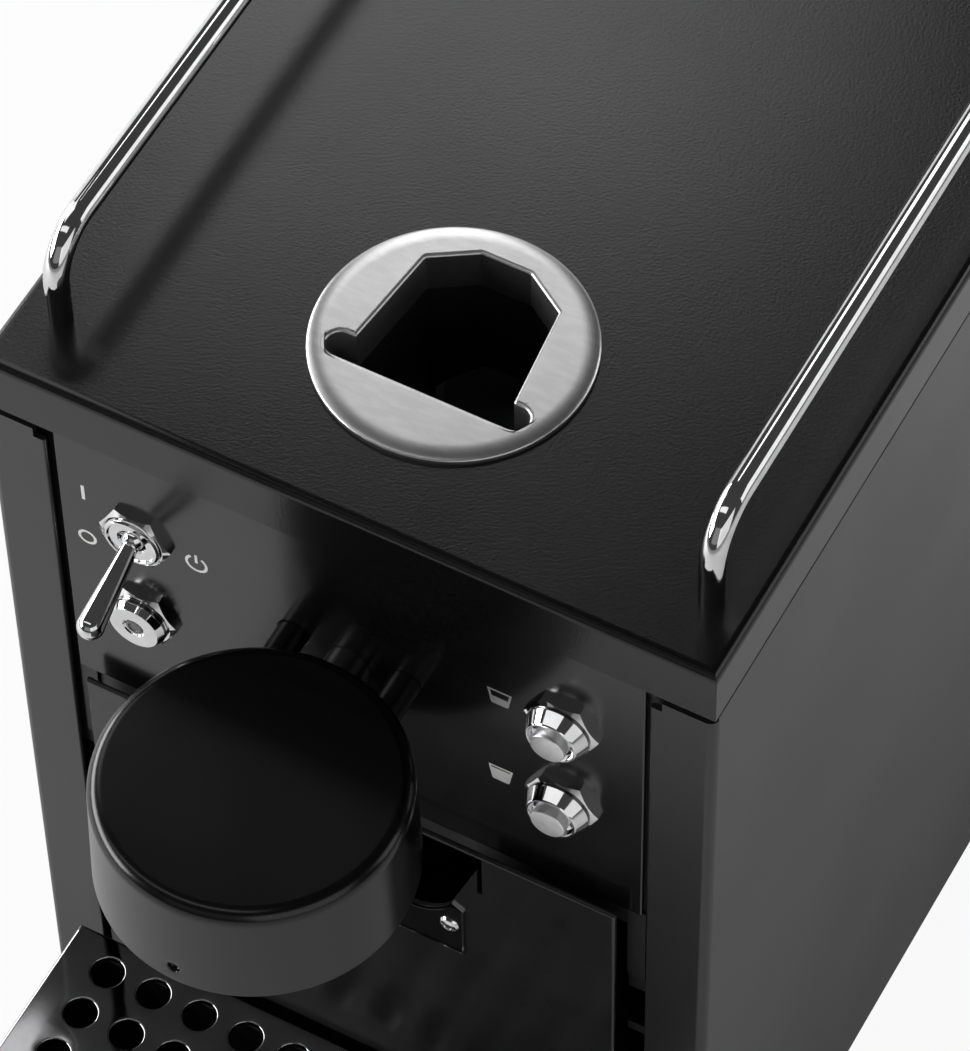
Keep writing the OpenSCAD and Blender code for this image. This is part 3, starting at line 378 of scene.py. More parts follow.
slotLooks = {"case_paint": "sidePaint", "gloss_black": "panelPaint", "dark_sheet": "innerSheet",
             "chrome": "chrome", "brushed_ring": "brushedSteel", "dark_rod": "darkRodSteel",
             "dark_plastic": "darkPlastic", "tank_clear": "tankPlastic", "rubber": "feetRubber",
             "lens": "lampLens", "bare_alloy": "bareAlloy", "pump_steel": "pumpSteel",
             "board": "boardGreen", "tube": "tubeRubber"}
nodeLooks = {"lid": "lidPaint", "bin_front": "doorPaintedReflection", "head_cap": "headPaint",
             "drip_grid": "gridSteel", "tank_lid": "darkPlastic"}


def edgeShading():
    # smooth faces with the edges over 30 degrees kept sharp, for the nodes' own meshes
    group = bpy.data.node_groups.new("edgeShading", "GeometryNodeTree")
    group.interface.new_socket("Geometry", in_out="INPUT", socket_type="NodeSocketGeometry")
    group.interface.new_socket("Geometry", in_out="OUTPUT", socket_type="NodeSocketGeometry")
    start, end = group.nodes.new("NodeGroupInput"), group.nodes.new("NodeGroupOutput")
    faces = group.nodes.new("GeometryNodeSetShadeSmooth")
    edges = group.nodes.new("GeometryNodeSetShadeSmooth")
    edges.domain = "EDGE"
    edges.inputs["Shade Smooth"].default_value = False
    angle = group.nodes.new("GeometryNodeInputMeshEdgeAngle")
    over = group.nodes.new("FunctionNodeCompare")
    over.operation = "GREATER_THAN"
    over.inputs[1].default_value = math.radians(30)
    group.links.new(angle.outputs["Unsigned Angle"], over.inputs[0])
    group.links.new(start.outputs[0], faces.inputs["Geometry"])
    group.links.new(faces.outputs[0], edges.inputs["Geometry"])
    group.links.new(over.outputs[0], edges.inputs["Selection"])
    group.links.new(edges.outputs[0], end.inputs[0])
    return group


shadingGroup = edgeShading()
bevelled = {"lid": 0.2, "bin_front": 0.3, "control_panel": 0.2, "front_frame": 0.25,  # widths in mm
            "front_apron": 0.3, "drip_tray": 0.5, "bin": 0.4, "tank_base": 0.8,
            "water_tank": 1.2, "tank_lid": 0.8, "rear_panel": 0.3, "base_pan": 0.3}
slotOf = {row["node"]: row["material_slot"] for row in frame["record"]["subparts"]}
for nodeName, node in nodes.items():
    look = nodeLooks.get(nodeName) or slotLooks[slotOf[nodeName]]
    node.data.materials.clear()
    node.data.materials.append(looks[look])
    weld = node.modifiers.new("weld", "WELD")
    weld.merge_threshold = 2e-6
    if nodeName in bevelled:
        flatten = node.modifiers.new("flatten", "DECIMATE")
        flatten.decimate_type = "DISSOLVE"
        flatten.angle_limit = math.radians(0.3)
        bevel = node.modifiers.new("edges", "BEVEL")
        bevel.width = bevelled[nodeName] * mm
        bevel.segments = 3
        bevel.limit_method = "ANGLE"
        bevel.angle_limit = math.radians(40)
    shading = node.modifiers.new("shadeSmooth", "NODES")
    shading.node_group = shadingGroup
    weigh(node)
print("nodes dressed")


# Slot ring: brushed ring with the outline of a capsule cut through it

slotRing = dict(depth=42.5, radius=26.7, height=1.6, edgeIn=3.3, edgeDown=0.85,
                slotIn=0.8, slotDown=0.6, neckRadius=24.4, neck=8)
slotCorners = [(20.6, -12.7), (20.6, -7.3), (16.1, -7.3), (13.7, 14.5), (5.1, 20.0),
               (-5.1, 20.0), (-13.7, 14.5), (-16.1, -7.3), (-20.6, -7.3), (-20.6, -12.7)]
slotRadii = [2.69, 2.69, 0.6, 0.6, 0.6, 0.6, 0.6, 0.6, 2.69, 2.69]


def slotRingShell(ring):
    # loops run from the neck up the rim, over its edge, across the face and down the slot; rim and slot
    # edges are quarters of an ellipse, and a rim loop takes, for each outline point, the place where the
    # ray from the slot's narrow part through that point meets a circle
    outline = refined(roundedPath(slotCorners, slotRadii, 8), 0.6)
    normal = outwards(outline)
    pole = np.array([0.0, -10.0])
    ray = outline - pole
    ray /= np.linalg.norm(ray, axis=1)[:, None]

    def circle(radius):
        near = ray @ pole
        return pole + ray * (-near + np.sqrt(near ** 2 - pole @ pole + radius ** 2))[:, None]

    bend = np.linspace(0, math.pi / 2, 11)
    slotBend = np.linspace(0, math.pi / 2, 10)[1:]
    loops = [(circle(ring["neckRadius"]), -ring["neck"]), (circle(ring["neckRadius"]), 0),
             (circle(ring["radius"]), 0)]
    loops += [(circle(ring["radius"] - ring["edgeIn"] * (1 - math.cos(a))),
               ring["height"] - ring["edgeDown"] * (1 - math.sin(a))) for a in bend]
    rimOut = circle(ring["radius"] - ring["edgeIn"])
    slotIn = outline + normal * ring["slotIn"]
    loops += [(circle(ring["radius"] - ring["edgeIn"] * 1.08), ring["height"])]
    loops += [(rimOut * (1 - share) + slotIn * share, ring["height"]) for share in (0.35, 0.7)]
    loops += [(outline + normal * ring["slotIn"] * 1.08, ring["height"]), (slotIn, ring["height"])]
    loops += [(outline + normal * ring["slotIn"] * (1 - math.sin(a)),
               ring["height"] - ring["slotDown"] * (1 - math.cos(a))) for a in slotBend]
    loops += [(outline, -ring["neck"])]
    points = np.stack([np.column_stack([flat, np.full(len(flat), lidTop + height)])
                       for flat, height in loops])
    points[..., 1] += ring["depth"]
    return points, gridFaces(len(loops), len(outline), True, True)


addPiece("slotRing", [slotRingShell(slotRing)], looks["brushedSteel"], "machine",
         ["slot_ring"], 60, weighted=False)
print("slot ring made")


# Cup rails: one rod bent down at both ends

rails = dict(radius=2.45, across=66.2, height=20.0, front=15.0, rear=155.0, bend=10.0,
             stud=5.0, studRadius=1.9)


def railPath(rail):
    # straight up, a quarter circle, along, a quarter circle and straight down, in the depth and height plane
    quarter = np.linspace(0, math.pi / 2, 15)
    top, bend = rail["height"], rail["bend"]
    up = np.array([(rail["front"], z) for z in np.linspace(0, top - bend, 6)[:-1]])
    first = np.stack([rail["front"] + bend * (1 - np.cos(quarter)), top - bend * (1 - np.sin(quarter))], -1)
    run = np.array([(y, top) for y in np.linspace(rail["front"] + bend, rail["rear"] - bend, 12)[1:-1]])
    half = np.concatenate([up, first])
    back = half[::-1] * (-1, 1) + (rail["front"] + rail["rear"], 0)
    return np.concatenate([half, run, back])


for side, name in ((-1, "rail_left"), (1, "rail_right")):
    flat = railPath(rails)
    path = np.column_stack([np.full(len(flat), side * rails["across"]), flat[:, 0], lidTop + flat[:, 1]])
    studs = [tube([(side * rails["across"], y, lidTop - rails["stud"] + z) for z in (0, 2, rails["stud"])],
                  rails["studRadius"], steps=16) for y in (rails["front"], rails["rear"])]
    addPiece("cupRail" + name[5:].capitalize(), [tube(path, rails["radius"], steps=40), *studs],
             looks["chrome"], "machine", [name])
print("rails made")


# Dispensing head: round cap with a set-screw hole in the front of its wall

head = dict(depth=-34.7, radius=30.3, taper=0.6, low=176.3, high=202.0, fillet=2.9, wall=3.0,
            lowerEdge=0.4, screwHeight=180.6, screwRadius=1.2, screwEdge=0.3, patch=2.6)


def headShell(cap):
    # the profile is turned about the head's axis; where the wall has its hole, the quads of one square
    # patch are left out and loops from the square to a circle and on into the wall take their place
    spacing = np.tan(np.radians(np.linspace(-45, 45, 13))) * cap["patch"]
    slope = cap["taper"] / (cap["high"] - cap["fillet"] - cap["low"])

    def wallRadius(z):
        return cap["radius"] - slope * (z - cap["low"])

    inner = cap["radius"] - cap["taper"] - cap["wall"]
    bend = np.linspace(0, math.pi / 2, 9)
    soft = np.linspace(0, math.pi / 2, 5)
    upper = np.linspace(cap["screwHeight"] + cap["patch"] + 2, cap["high"] - cap["fillet"] - 0.5, 7)
    levels = np.concatenate([[cap["low"] + cap["lowerEdge"] + 0.6], cap["screwHeight"] + spacing, upper])
    topRadius = cap["radius"] - cap["taper"]
    profile = np.concatenate([
        [(0, cap["high"] - cap["wall"]), (inner, cap["high"] - cap["wall"]), (inner, cap["low"])],
        np.stack([cap["radius"] - cap["lowerEdge"] * (1 - np.sin(soft)),
                  cap["low"] + cap["lowerEdge"] * (1 - np.cos(soft))], -1),
        np.stack([wallRadius(levels), levels], -1),
        np.stack([topRadius - cap["fillet"] * (1 - np.cos(bend)),
                  cap["high"] - cap["fillet"] * (1 - np.sin(bend))], -1),
        [(topRadius - cap["fillet"] - 8, cap["high"]), (8, cap["high"]), (0, cap["high"])]])
    reach = cap["patch"] / cap["radius"]
    turn = np.concatenate([spacing / cap["radius"], np.linspace(reach, 2 * math.pi - reach, 110)[1:-1]])

    def onWall(angle, radius, z):
        return np.stack([radius * np.sin(angle), cap["depth"] - radius * np.cos(angle),
                         np.broadcast_to(z, np.shape(angle))], -1)

    points = np.stack([onWall(turn, np.full(len(turn), r), z) for r, z in profile])
    faces = gridFaces(len(profile), len(turn), False, True)
    row, col = np.divmod(faces[:, 0], len(turn))
    firstLevel = 3 + len(soft) + 1
    inPatch = (row >= firstLevel) & (row < firstLevel + 12) & (col < 12)
    faces = faces[~inPatch]
    around = np.radians(np.arange(-45, 315, 7.5))
    square = cap["patch"] / np.maximum(abs(np.cos(around)), abs(np.sin(around)))
    dip = np.linspace(0, math.pi / 2, 5)
    loops = [(square, 0.0)]
    loops += [(np.full(len(around), cap["screwRadius"] + cap["screwEdge"] * (1 - math.sin(a))),
               cap["screwEdge"] * (1 - math.cos(a))) for a in dip]
    loops += [(np.full(len(around), cap["screwRadius"]), 2.6), (np.zeros(len(around)), 2.6)]
    patch = np.stack([onWall(r * np.cos(around) / cap["radius"],
                             wallRadius(cap["screwHeight"] + r * np.sin(around)) - deep,
                             cap["screwHeight"] + r * np.sin(around)) for r, deep in loops])
    return [(points, faces), (patch, gridFaces(len(loops), len(around), False, True))]


addPiece("headCap", headShell(head), looks["headPaint"], "machine", ["head_cap"], 40)
print("head made")


# Controls on the panel: hexagon nuts, toggle, lamp and push-buttons, all about axes along the depth

controls = dict(across=44.4, upper=203.8, lower=178.9, panelBack=2.4)
nut = dict(front=-0.9, back=0.8, flats=13.4, faceIn=0.25, boreEdge=0.35, cone=30)
outAxis = (0, -1, 0)


def nutShell(x, z, bore):
    # a hexagon whose corners are cut back by a cone: the radius past the face's circle sinks the face
    turn = np.linspace(0, 2 * np.pi, 120, endpoint=False)
    flatCircle = nut["flats"] / 2
    hexagon = flatCircle / np.cos(turn % (np.pi / 3) - np.pi / 6)
    front, back, boreEdge = nut["front"], nut["back"], nut["boreEdge"]
    faceCircle = flatCircle - nut["faceIn"]
    ones = np.ones(len(turn))
    sunk = front + (hexagon - faceCircle) * math.tan(math.radians(nut["cone"]))
    loops = [(bore * ones, back * ones), (bore * ones, (front + boreEdge) * ones),
             ((bore + boreEdge) * ones, front * ones), (faceCircle * ones, front * ones),
             ((faceCircle + hexagon) / 2, (front + sunk) / 2), (hexagon, sunk),
             (hexagon, back * ones)]
    points = np.stack([np.stack([x + r * np.cos(turn), d, z + r * np.sin(turn)], -1) for r, d in loops])
    return points, gridFaces(len(loops), len(turn), True, True)


def turned(x, z, profile, radii=0.12, steps=96, closed=False):
    # profile of (radius, depth) corners, softened, about the control's axis
    profile = softened(profile, radii)
    return revolved(np.stack([profile[:, 0], -profile[:, 1]], -1), (x, 0, z), outAxis, steps, closed)


left, right = -controls["across"], controls["across"]
upper, lower = controls["upper"], controls["lower"]
for name, nodeName, x, z, bore in (("toggleNut", "toggle_nut", left, upper, 6.0),
                                   ("lampNut", "lamp_nut", left, lower, 5.6),
                                   ("button1Nut", "button_1_nut", right, upper, 5.6),
                                   ("button2Nut", "button_2_nut", right, lower, 5.6)):
    addPiece(name, [nutShell(x, z, bore)], looks["chrome"], "machine", [nodeName], 25,
             weighted=False)

toggle = dict(pivot=0.0, lean=23.0, length=18.1, base=1.7, end=2.7, ball=2.4, neck=0.25,
              pin=0.5, pinHalf=3.6, caseHalf=6.5, caseRise=11, caseCorner=1.0, caseBack=22)
bushing = [(0, 20), (5.9, 20), (5.9, -1.25), (5.45, -1.6), (5.05, -1.6), (4.85, -1.15), (3.1, -1.15),
           (2.75, -0.8), (2.45, 2.0), (0, 2.6)]
half, rise = toggle["caseHalf"], toggle["caseRise"]
switchCase = roundedPath([(left - half, upper - rise), (left + half, upper - rise),
                          (left + half, upper + rise), (left - half, upper + rise)], toggle["caseCorner"])
addPiece("toggleBushing", [turned(left, upper, bushing, [0, 0.1, 0.15, 0.1, 0.1, 0.1, 0.15, 0.1]),
                           slab(switchCase, controls["panelBack"], toggle["caseBack"])],
         looks["chrome"], "machine", ["toggle_body"])


def leverShell(lever):
    # ball, slim cone and rounded end in one profile along the lever's own axis; the cone meets the end
    # where the end's circle has the cone's slope
    ball, length, end = lever["ball"], lever["length"], lever["end"]
    join = math.asin(lever["base"] / ball)
    under = np.linspace(math.pi, join, 24)
    base = np.stack([ball * np.sin(under), ball * np.cos(under)], -1)
    first = base[-1, 1] + lever["neck"]
    slant = math.asin((end - lever["base"]) / (length - first))
    over = np.linspace(math.pi / 2 + slant, 0, 28)
    tip = np.stack([end * np.sin(over), length + end * np.cos(over)], -1)
    share = np.linspace(0, 1, 20)[:, None]
    cone = (1 - share) * (lever["base"], first) + share * tip[0]
    lean = math.radians(lever["lean"])
    axis = (0, -math.cos(lean), -math.sin(lean))
    return revolved(np.concatenate([base, cone[:-1], tip]), (left, lever["pivot"], upper), axis, 64)


pinPath = [(left + reach, 0, upper) for reach in (-toggle["pinHalf"], 0, toggle["pinHalf"])]
addPiece("toggleLever", [leverShell(toggle), tube(pinPath, toggle["pin"], (0, 0, 1), 16)],
         looks["chrome"], "toggle", ["toggle_lever"], 50)

lampBody = [(0, 16), (5.5, 16), (5.5, -0.9), (6.0, -1.0), (6.0, -2.0), (5.25, -3.4),
            (2.35, -3.4), (2.2, -3.05), (1.92, -3.0), (1.92, -2.4), (0, -2.4)]
addPiece("lampBody", [turned(left, lower, lampBody, [0, 0.03, 0.1, 0.3, 0.2, 0.08, 0.05, 0.05, 0])],
         looks["chrome"], "machine", ["lamp_body"], 40)
lampLens = [(0, -2.4), (1.9, -2.4), (1.9, -3.15), (1.25, -3.3), (1.05, -3.05), (0, -3.05)]
addPiece("lampLens", [turned(left, lower, lampLens, [0.05, 0.25, 0.15, 0.1])], looks["lampLens"],
         "machine", ["lamp_lens"])

buttonBody = [(0, 20), (5.5, 20), (5.5, -0.9), (6.4, -1.0), (6.4, -1.6), (5.2, -4.05), (5.0, -4.3),
              (4.65, -4.3), (4.35, -3.0), (3.65, -2.8), (3.6, 6.0), (0, 6.2)]
buttonRadii = [0, 0.03, 0.1, 0.25, 0.08, 0.1, 0.12, 0.2, 0.1, 0]
for number, z in ((1, upper), (2, lower)):
    addPiece(f"button{number}Body", [turned(right, z, buttonBody, buttonRadii)], looks["chrome"],
             "machine", [f"button_{number}_body"], 40)
    cap = [(0, 2.9), (3.5, 2.9), (3.5, -5.7), (0, -5.7)]
    addPiece(f"button{number}Cap", [turned(right, z, cap, [0.1, 0.3])], looks["capSteel"],
             f"button_{number}", [f"button_{number}_cap"])
print("controls made")


# Printed marks beside the controls

marks = dict(face=0.8, sunk=0.01, thick=0.04, stroke=0.6)
cup = dict(across=31.4, foot=1.75, top=2.55, half=2.2, wall=0.45, gap=0.35)


def ringPath(x, z, radius, start=0.0, sweep=360.0, steps=72):
    turn = np.radians(start + np.linspace(0, sweep, steps, endpoint=sweep < 360))
    return np.stack([x + radius * np.cos(turn), z + radius * np.sin(turn)], -1)


def printedSlab(outline):
    return slab(outline, marks["face"] + marks["sunk"], marks["face"] - marks["thick"])


def printedBand(outer, inner):
    return ringSlab(outer, inner, marks["face"] + marks["sunk"], marks["face"] - marks["thick"])


def bar(x, z, width, height):
    return roundedPath([(x - width / 2, z - height / 2), (x + width / 2, z - height / 2),
                        (x + width / 2, z + height / 2), (x - width / 2, z + height / 2)], width * 0.3, 4)


def cupOutline(x, z, inset):
    # cup seen from the side, wide above and narrow below
    foot, top = cup["foot"] - inset, cup["top"] - 1.2 * inset
    low, high = z - cup["half"] + inset, z + cup["half"] - inset
    return roundedPath([(x - foot, low), (x + foot, low), (x + top, high), (x - top, high)],
                       [0.5 - inset * 0.5, 0.5 - inset * 0.5, 0.08, 0.08], 5)


stroke = marks["stroke"]
addPiece("markOn", [printedSlab(bar(-55.4, 210.05, stroke + 0.1, 4.3))], looks["silverPrint"], "machine")
addPiece("markOff", [printedBand(ringPath(-55.5, 195.9, 2.0), ringPath(-55.5, 195.9, 2.0 - stroke))],
         looks["silverPrint"], "machine")
arc = (122.0, 296.0)
addPiece("markPower", [printedSlab(np.concatenate([ringPath(-31.75, 202.95, 2.4, *arc),
                                                   ringPath(-31.75, 202.95, 2.4 - stroke, *arc)[::-1]])),
                       printedSlab(bar(-31.75, 204.4, stroke, 2.5))], looks["silverPrint"], "machine")
flare = (cup["top"] - cup["foot"]) / (2 * cup["half"])
for name, z, level in (("markSmallCup", 202.7, 0.0), ("markLargeCup", 177.7, 1.35)):
    # the filling is as wide at its level as the cup's inside
    x, foot, low = cup["across"], cup["foot"] - cup["gap"], z - cup["half"] + cup["gap"]
    wide = cup["top"] - 1.2 * cup["wall"] - (cup["half"] - cup["wall"] - level) * flare
    filling = roundedPath([(x - foot, low), (x + foot, low), (x + wide, z + level), (x - wide, z + level)],
                          [0.2, 0.2, 0.05, 0.05], 4)
    addPiece(name, [printedBand(cupOutline(x, z, 0.0), cupOutline(x, z, cup["wall"])), printedSlab(filling)],
             looks["silverPrint"], "machine")
print("marks made")


# Bare plate under the grip: bright rim, black field and a round rivet at each end

plaque = dict(half=25.0, low=115.4, mid=131.9, chamfer=2.4, rim=0.4, face=-3.0, thick=0.5,
              field=0.25, gripHalf=22.3, gripLow=125.4, gripRadius=10.7, rivetIn=3.2, rivetUp=8.7)


def plaqueOutline(p, inset):
    # straight below and at the sides, and above it follows the dish of the grip, two arcs and a flat between
    centre = p["gripHalf"] - math.sqrt(p["gripRadius"] ** 2 - (p["gripRadius"] - p["mid"] + p["gripLow"]) ** 2)
    radius, height = p["gripRadius"] + inset, p["gripLow"] + p["gripRadius"]
    sideLow = p["mid"] - p["chamfer"] / 2
    reach = p["half"] - inset
    slant = p["half"] - p["chamfer"] - inset / 2
    firstAngle = math.acos(min(1.0, (slant - 0.15 - centre) / radius))
    turn = np.linspace(-firstAngle, -math.pi / 2, 20)
    arcPoints = np.stack([centre + radius * np.cos(turn), height + radius * np.sin(turn)], -1)
    top = arcPoints[0, 1]
    rightSide = np.concatenate([[(reach, p["low"] + inset), (reach, min(sideLow - inset / 2, top)),
                                 (slant, top)], arcPoints])
    leftSide = rightSide[::-1] * (-1, 1)
    return np.concatenate([rightSide, leftSide])


outer, inner = plaqueOutline(plaque, 0.0), plaqueOutline(plaque, plaque["rim"])
rimFront = plaque["face"] - plaque["thick"]
addPiece("plaqueRim", [ringSlab(outer, inner, plaque["face"], rimFront)], looks["chrome"], "bin",
         ["bin_plate"])
addPiece("plaqueField", [slab(inner, plaque["face"], plaque["face"] - plaque["field"])],
         looks["plaqueBlack"], "bin")
rivetProfile = [(0, -3.0), (2.1, -3.0), (2.1, -3.3), (1.75, -3.85), (0.95, -4.1), (0.75, -3.9), (0, -3.85)]
for side, name in ((-1, "Left"), (1, "Right")):
    addPiece("plaqueRivet" + name,
             [turned(side * (plaque["half"] - plaque["rivetIn"]), plaque["low"] + plaque["rivetUp"],
                     rivetProfile, [0.05, 0.15, 0.5, 0.12, 0.05], 48)], looks["rivetChrome"], "bin")
print("plaque made")


# Drip grid: folded plate, each hole with a rounded lip

grid = dict(half=64.8, front=-88.0, back=-4.1, top=60.0, thick=1.2, fold=6.0, bend=0.8,
            pitch=10.8, columns=11, rows=7, firstRow=-11.7, hole=3.5, lip=0.4)


def gridShell(plate):
    # tile: loops from the square's edge to the lip, down the hole and back along the underside;
    # border: loops from the tiles' outer edge over the bend, down the fold and back inside
    turn = np.radians(np.arange(0, 360, 7.5))
    half = plate["pitch"] / 2
    square = half / np.maximum(abs(np.cos(turn)), abs(np.sin(turn)))
    lip, hole, top = plate["lip"], plate["hole"], plate["top"]
    under = top - plate["thick"]
    bend = np.linspace(0, math.pi / 2, 5)
    loops = [(square, top)]
    loops += [(np.full(len(turn), hole + lip * (1 - math.sin(a))), top - lip * (1 - math.cos(a))) for a in bend]
    loops += [(np.full(len(turn), hole), under), (square, under)]
    tile = np.stack([np.stack([r * np.cos(turn), r * np.sin(turn), np.full(len(turn), z)], -1)
                     for r, z in loops])
    tileFaces = gridFaces(len(loops), len(turn), False, True)
    across = (np.arange(plate["columns"]) - (plate["columns"] - 1) / 2) * plate["pitch"]
    deep = plate["firstRow"] - np.arange(plate["rows"]) * plate["pitch"]
    spots = np.stack(np.meshgrid(across, deep, [0.0], indexing="ij"), -1).reshape(-1, 1, 1, 3)
    tiles = (tile[None] + spots).reshape(-1, 3)
    count = tile.shape[0] * tile.shape[1]
    faces = (tileFaces[None] + (np.arange(len(spots)) * count)[:, None, None]).reshape(-1, 4)

    edge = np.tan(np.radians(np.arange(-45, 45, 7.5))) * half
    rowLine = (deep[::-1, None] + edge).ravel()
    colLine = (across[:, None] + edge).ravel()
    xEnd, yLow, yHigh = across[-1] + half, deep[-1] - half, deep[0] + half
    border = np.concatenate([
        np.stack([colLine, np.full(len(colLine), yLow)], -1),
        np.stack([np.full(len(rowLine), xEnd), rowLine], -1),
        np.stack([-colLine, np.full(len(colLine), yHigh)], -1),
        np.stack([np.full(len(rowLine), -xEnd), yLow + yHigh - rowLine], -1)])
    middle = (yLow + yHigh) / 2
    unit = np.stack([border[:, 0] / xEnd, (border[:, 1] - middle) / (yHigh - middle)], -1)

    def loopAt(inset, z):
        yCentre = (plate["front"] + plate["back"]) / 2
        yHalf = (plate["back"] - plate["front"]) / 2 - inset
        return np.column_stack([unit[:, 0] * (plate["half"] - inset), yCentre + unit[:, 1] * yHalf,
                                np.full(len(unit), z)])

    r, low = plate["bend"], top - plate["fold"]
    rings = [np.column_stack([border, np.full(len(border), top)])]
    rings += [loopAt(r * (1 - math.sin(a)), top - r * (1 - math.cos(a)))
              for a in np.linspace(0, math.pi / 2, 8)]
    rings += [loopAt(0.0, low), loopAt(plate["thick"], low), loopAt(plate["thick"], under),
              np.column_stack([border, np.full(len(border), under)])]
    return [(tiles, faces), (np.stack(rings), gridFaces(len(rings), len(border), False, True))]


addPiece("dripGrid", gridShell(grid), looks["gridSteel"], "grid", ["drip_grid"], 40)
print("drip grid made")


# Camera, floor and light

view = dict(azimuth=29.3054924, elevation=54.3625336, roll=-1.15385711,
            focal=5853.53, longSide=1051, place=(0.318405, -0.590622, 1.079174))


def addCamera(v):
    az, el, roll = (math.radians(v[k]) for k in ("azimuth", "elevation", "roll"))
    ahead = Vector((-math.sin(az) * math.cos(el), math.cos(az) * math.cos(el), -math.sin(el)))
    across = Vector((math.cos(az), math.sin(az), 0))
    above = across.cross(ahead)
    rolledAcross = across * math.cos(roll) + above * math.sin(roll)
    rolledAbove = above * math.cos(roll) - across * math.sin(roll)
    turn = Matrix((rolledAcross, rolledAbove, -ahead)).transposed()
    data = bpy.data.cameras.new("camera")
    data.sensor_width = 36
    data.lens = v["focal"] * data.sensor_width / v["longSide"]
    data.clip_start, data.clip_end = 0.05, 20
    camera = bpy.data.objects.new("camera", data)
    camera.matrix_world = Matrix.Translation(v["place"]) @ turn.to_4x4()
    bpy.context.scene.collection.objects.link(camera)
    bpy.context.scene.camera = camera


# shade, shadeAcross and shadeDeep set a painted shadow in the floor's mirrored glow, towards the case's right
# side
floorPaper = dict(size=6.0, tone=0.86, glow=0.93, mirroredGlow=0.19,
                  shade=-0.75, shadeAcross=(0.15, 0.075), shadeDeep=(-0.12, -0.07))


def seenDirectly(tree, path):
    return mathNode(tree, "MAXIMUM", path["Is Camera Ray"], path["Is Transmission Ray"])


def addFloor(paper):
    # the floor shows its own pale colour, with part of it glowing evenly so the shadow stays soft; polished
    # faces mirror it dimmer, and beside the case's foot the mirrored floor carries a painted shadow
    size, tone = paper["size"], paper["tone"]
    mesh = bpy.data.meshes.new("floor")
    mesh.from_pydata([(-size, -size, 0), (size, -size, 0), (size, size, 0), (-size, size, 0)], [],
                     [(0, 1, 2, 3)])
    floor = bpy.data.objects.new("floor", mesh)
    bpy.context.scene.collection.objects.link(floor)
    material = bpy.data.materials.new("floorPaper")
    material.use_nodes = True
    tree = material.node_tree
    tree.nodes.clear()
    output = tree.nodes.new("ShaderNodeOutputMaterial")
    matte = tree.nodes.new("ShaderNodeBsdfDiffuse")
    matte.inputs["Color"].default_value = (tone, tone, tone, 1)
    light = tree.nodes.new("ShaderNodeEmission")
    light.inputs["Strength"].default_value = 1.0
    mix = tree.nodes.new("ShaderNodeMixShader")
    path = tree.nodes.new("ShaderNodeLightPath").outputs
    where = tree.nodes.new("ShaderNodeTexCoord")
    axes = tree.nodes.new("ShaderNodeSeparateXYZ")
    tree.links.new(where.outputs["Object"], axes.inputs[0])
    # painted shadow: the mirrored glow falls to a quarter towards the case's right side and behind its front
    beside = mathNode(tree, "MULTIPLY", spread(tree, axes.outputs["X"], 0, 1, *paper["shadeAcross"]),
                      spread(tree, axes.outputs["Y"], 0, 1, *paper["shadeDeep"]))
    paintedShadeLevel = mathNode(tree, "MULTIPLY_ADD", beside, paper["shade"], 1.0)
    glossy = mathNode(tree, "MULTIPLY", path["Is Glossy Ray"], paintedShadeLevel)
    mirrored = mathNode(tree, "MULTIPLY", glossy, paper["mirroredGlow"])
    share = mathNode(tree, "MULTIPLY_ADD", seenDirectly(tree, path), paper["glow"], mirrored)
    tree.links.new(share, mix.inputs["Fac"])
    tree.links.new(matte.outputs[0], mix.inputs[1])
    tree.links.new(light.outputs[0], mix.inputs[2])
    tree.links.new(mix.outputs[0], output.inputs["Surface"])
    mesh.materials.append(material)


def addSoftbox(name, spot, aim, width, height, radiance):
    # an area lamp's watts are its radiance times its area times pi
    data = bpy.data.lights.new(name, "AREA")
    data.shape = "RECTANGLE"
    data.size, data.size_y = width, height
    data.energy = radiance * width * height * math.pi
    lamp = bpy.data.objects.new(name, data)
    lamp.location = spot
    lamp.visible_camera = False
    lamp.rotation_euler = (Vector(aim) - Vector(spot)).to_track_quat("-Z", "Y").to_euler()
    bpy.context.scene.collection.objects.link(lamp)


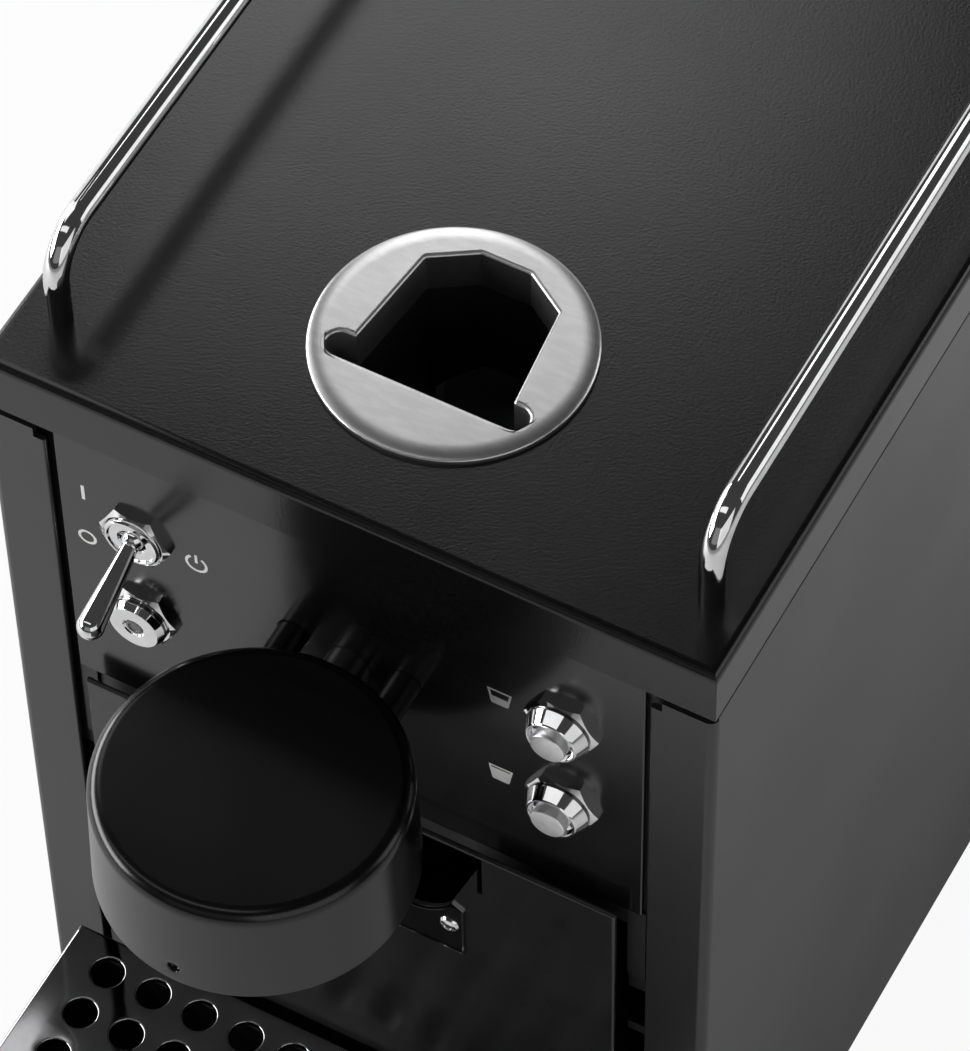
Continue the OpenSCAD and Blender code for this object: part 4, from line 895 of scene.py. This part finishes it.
def addWorld(light):
    # dim where it lights the part, white where the camera sees it
    world = bpy.data.worlds.new("studio")
    world.use_nodes = True
    tree = world.node_tree
    tree.nodes.clear()
    output = tree.nodes.new("ShaderNodeOutputWorld")
    dim = tree.nodes.new("ShaderNodeBackground")
    dim.inputs["Strength"].default_value = light
    bright = tree.nodes.new("ShaderNodeBackground")
    mix = tree.nodes.new("ShaderNodeMixShader")
    path = tree.nodes.new("ShaderNodeLightPath").outputs
    tree.links.new(seenDirectly(tree, path), mix.inputs["Fac"])
    tree.links.new(dim.outputs[0], mix.inputs[1])
    tree.links.new(bright.outputs[0], mix.inputs[2])
    tree.links.new(mix.outputs[0], output.inputs["Surface"])
    bpy.context.scene.world = world


addCamera(view)
addFloor(floorPaper)
addWorld(0.06)
softboxes = {  # place, aim, width, height and radiance
    "backSoftbox": ((-0.72, 1.18, 1.07), (0, 0, 0.18), 0.42, 1.19, 3.0),
    "leftSoftbox": ((-1.40, -0.25, 0.60), (0, 0, 0.2), 2.00, 0.56, 8.0),
    "gridCard": ((-0.176, -0.023, 0.365), (-0.063, -0.152, 0.06), 0.088, 0.088, 1.2),
    "overheadSoftbox": ((-0.50, -0.46, 1.20), (-0.50, -0.46, 0), 1.40, 0.20, 1.0),
    "frontCard": ((0.15, -1.50, 0.85), (0, 0, 0.2), 1.60, 0.80, 0.18),
    "frontRightSoftbox": ((0.90, -0.70, 0.60), (0, -0.1, 0.1), 1.20, 0.80, 0.75),
    "backCard": ((-0.55, 1.90, 0.38), (0, 0, 0.3), 2.20, 0.70, 0.75),
    "backLeftCard": ((-1.75, 1.00, 0.38), (0, 0, 0.3), 1.50, 0.70, 0.75),
    "rightCard": ((1.45, 0.95, 0.80), (0, 0, 0.25), 1.30, 0.90, 1.0),
    "sideSoftbox": ((0.50, 0.60, 0.45), (0.22, 0.2, 0), 0.30, 0.30, 2.8),
}
for name, softbox in softboxes.items():
    addSoftbox(name, *softbox)
bpy.context.scene.view_settings.view_transform = "Standard"
print("camera and light placed")
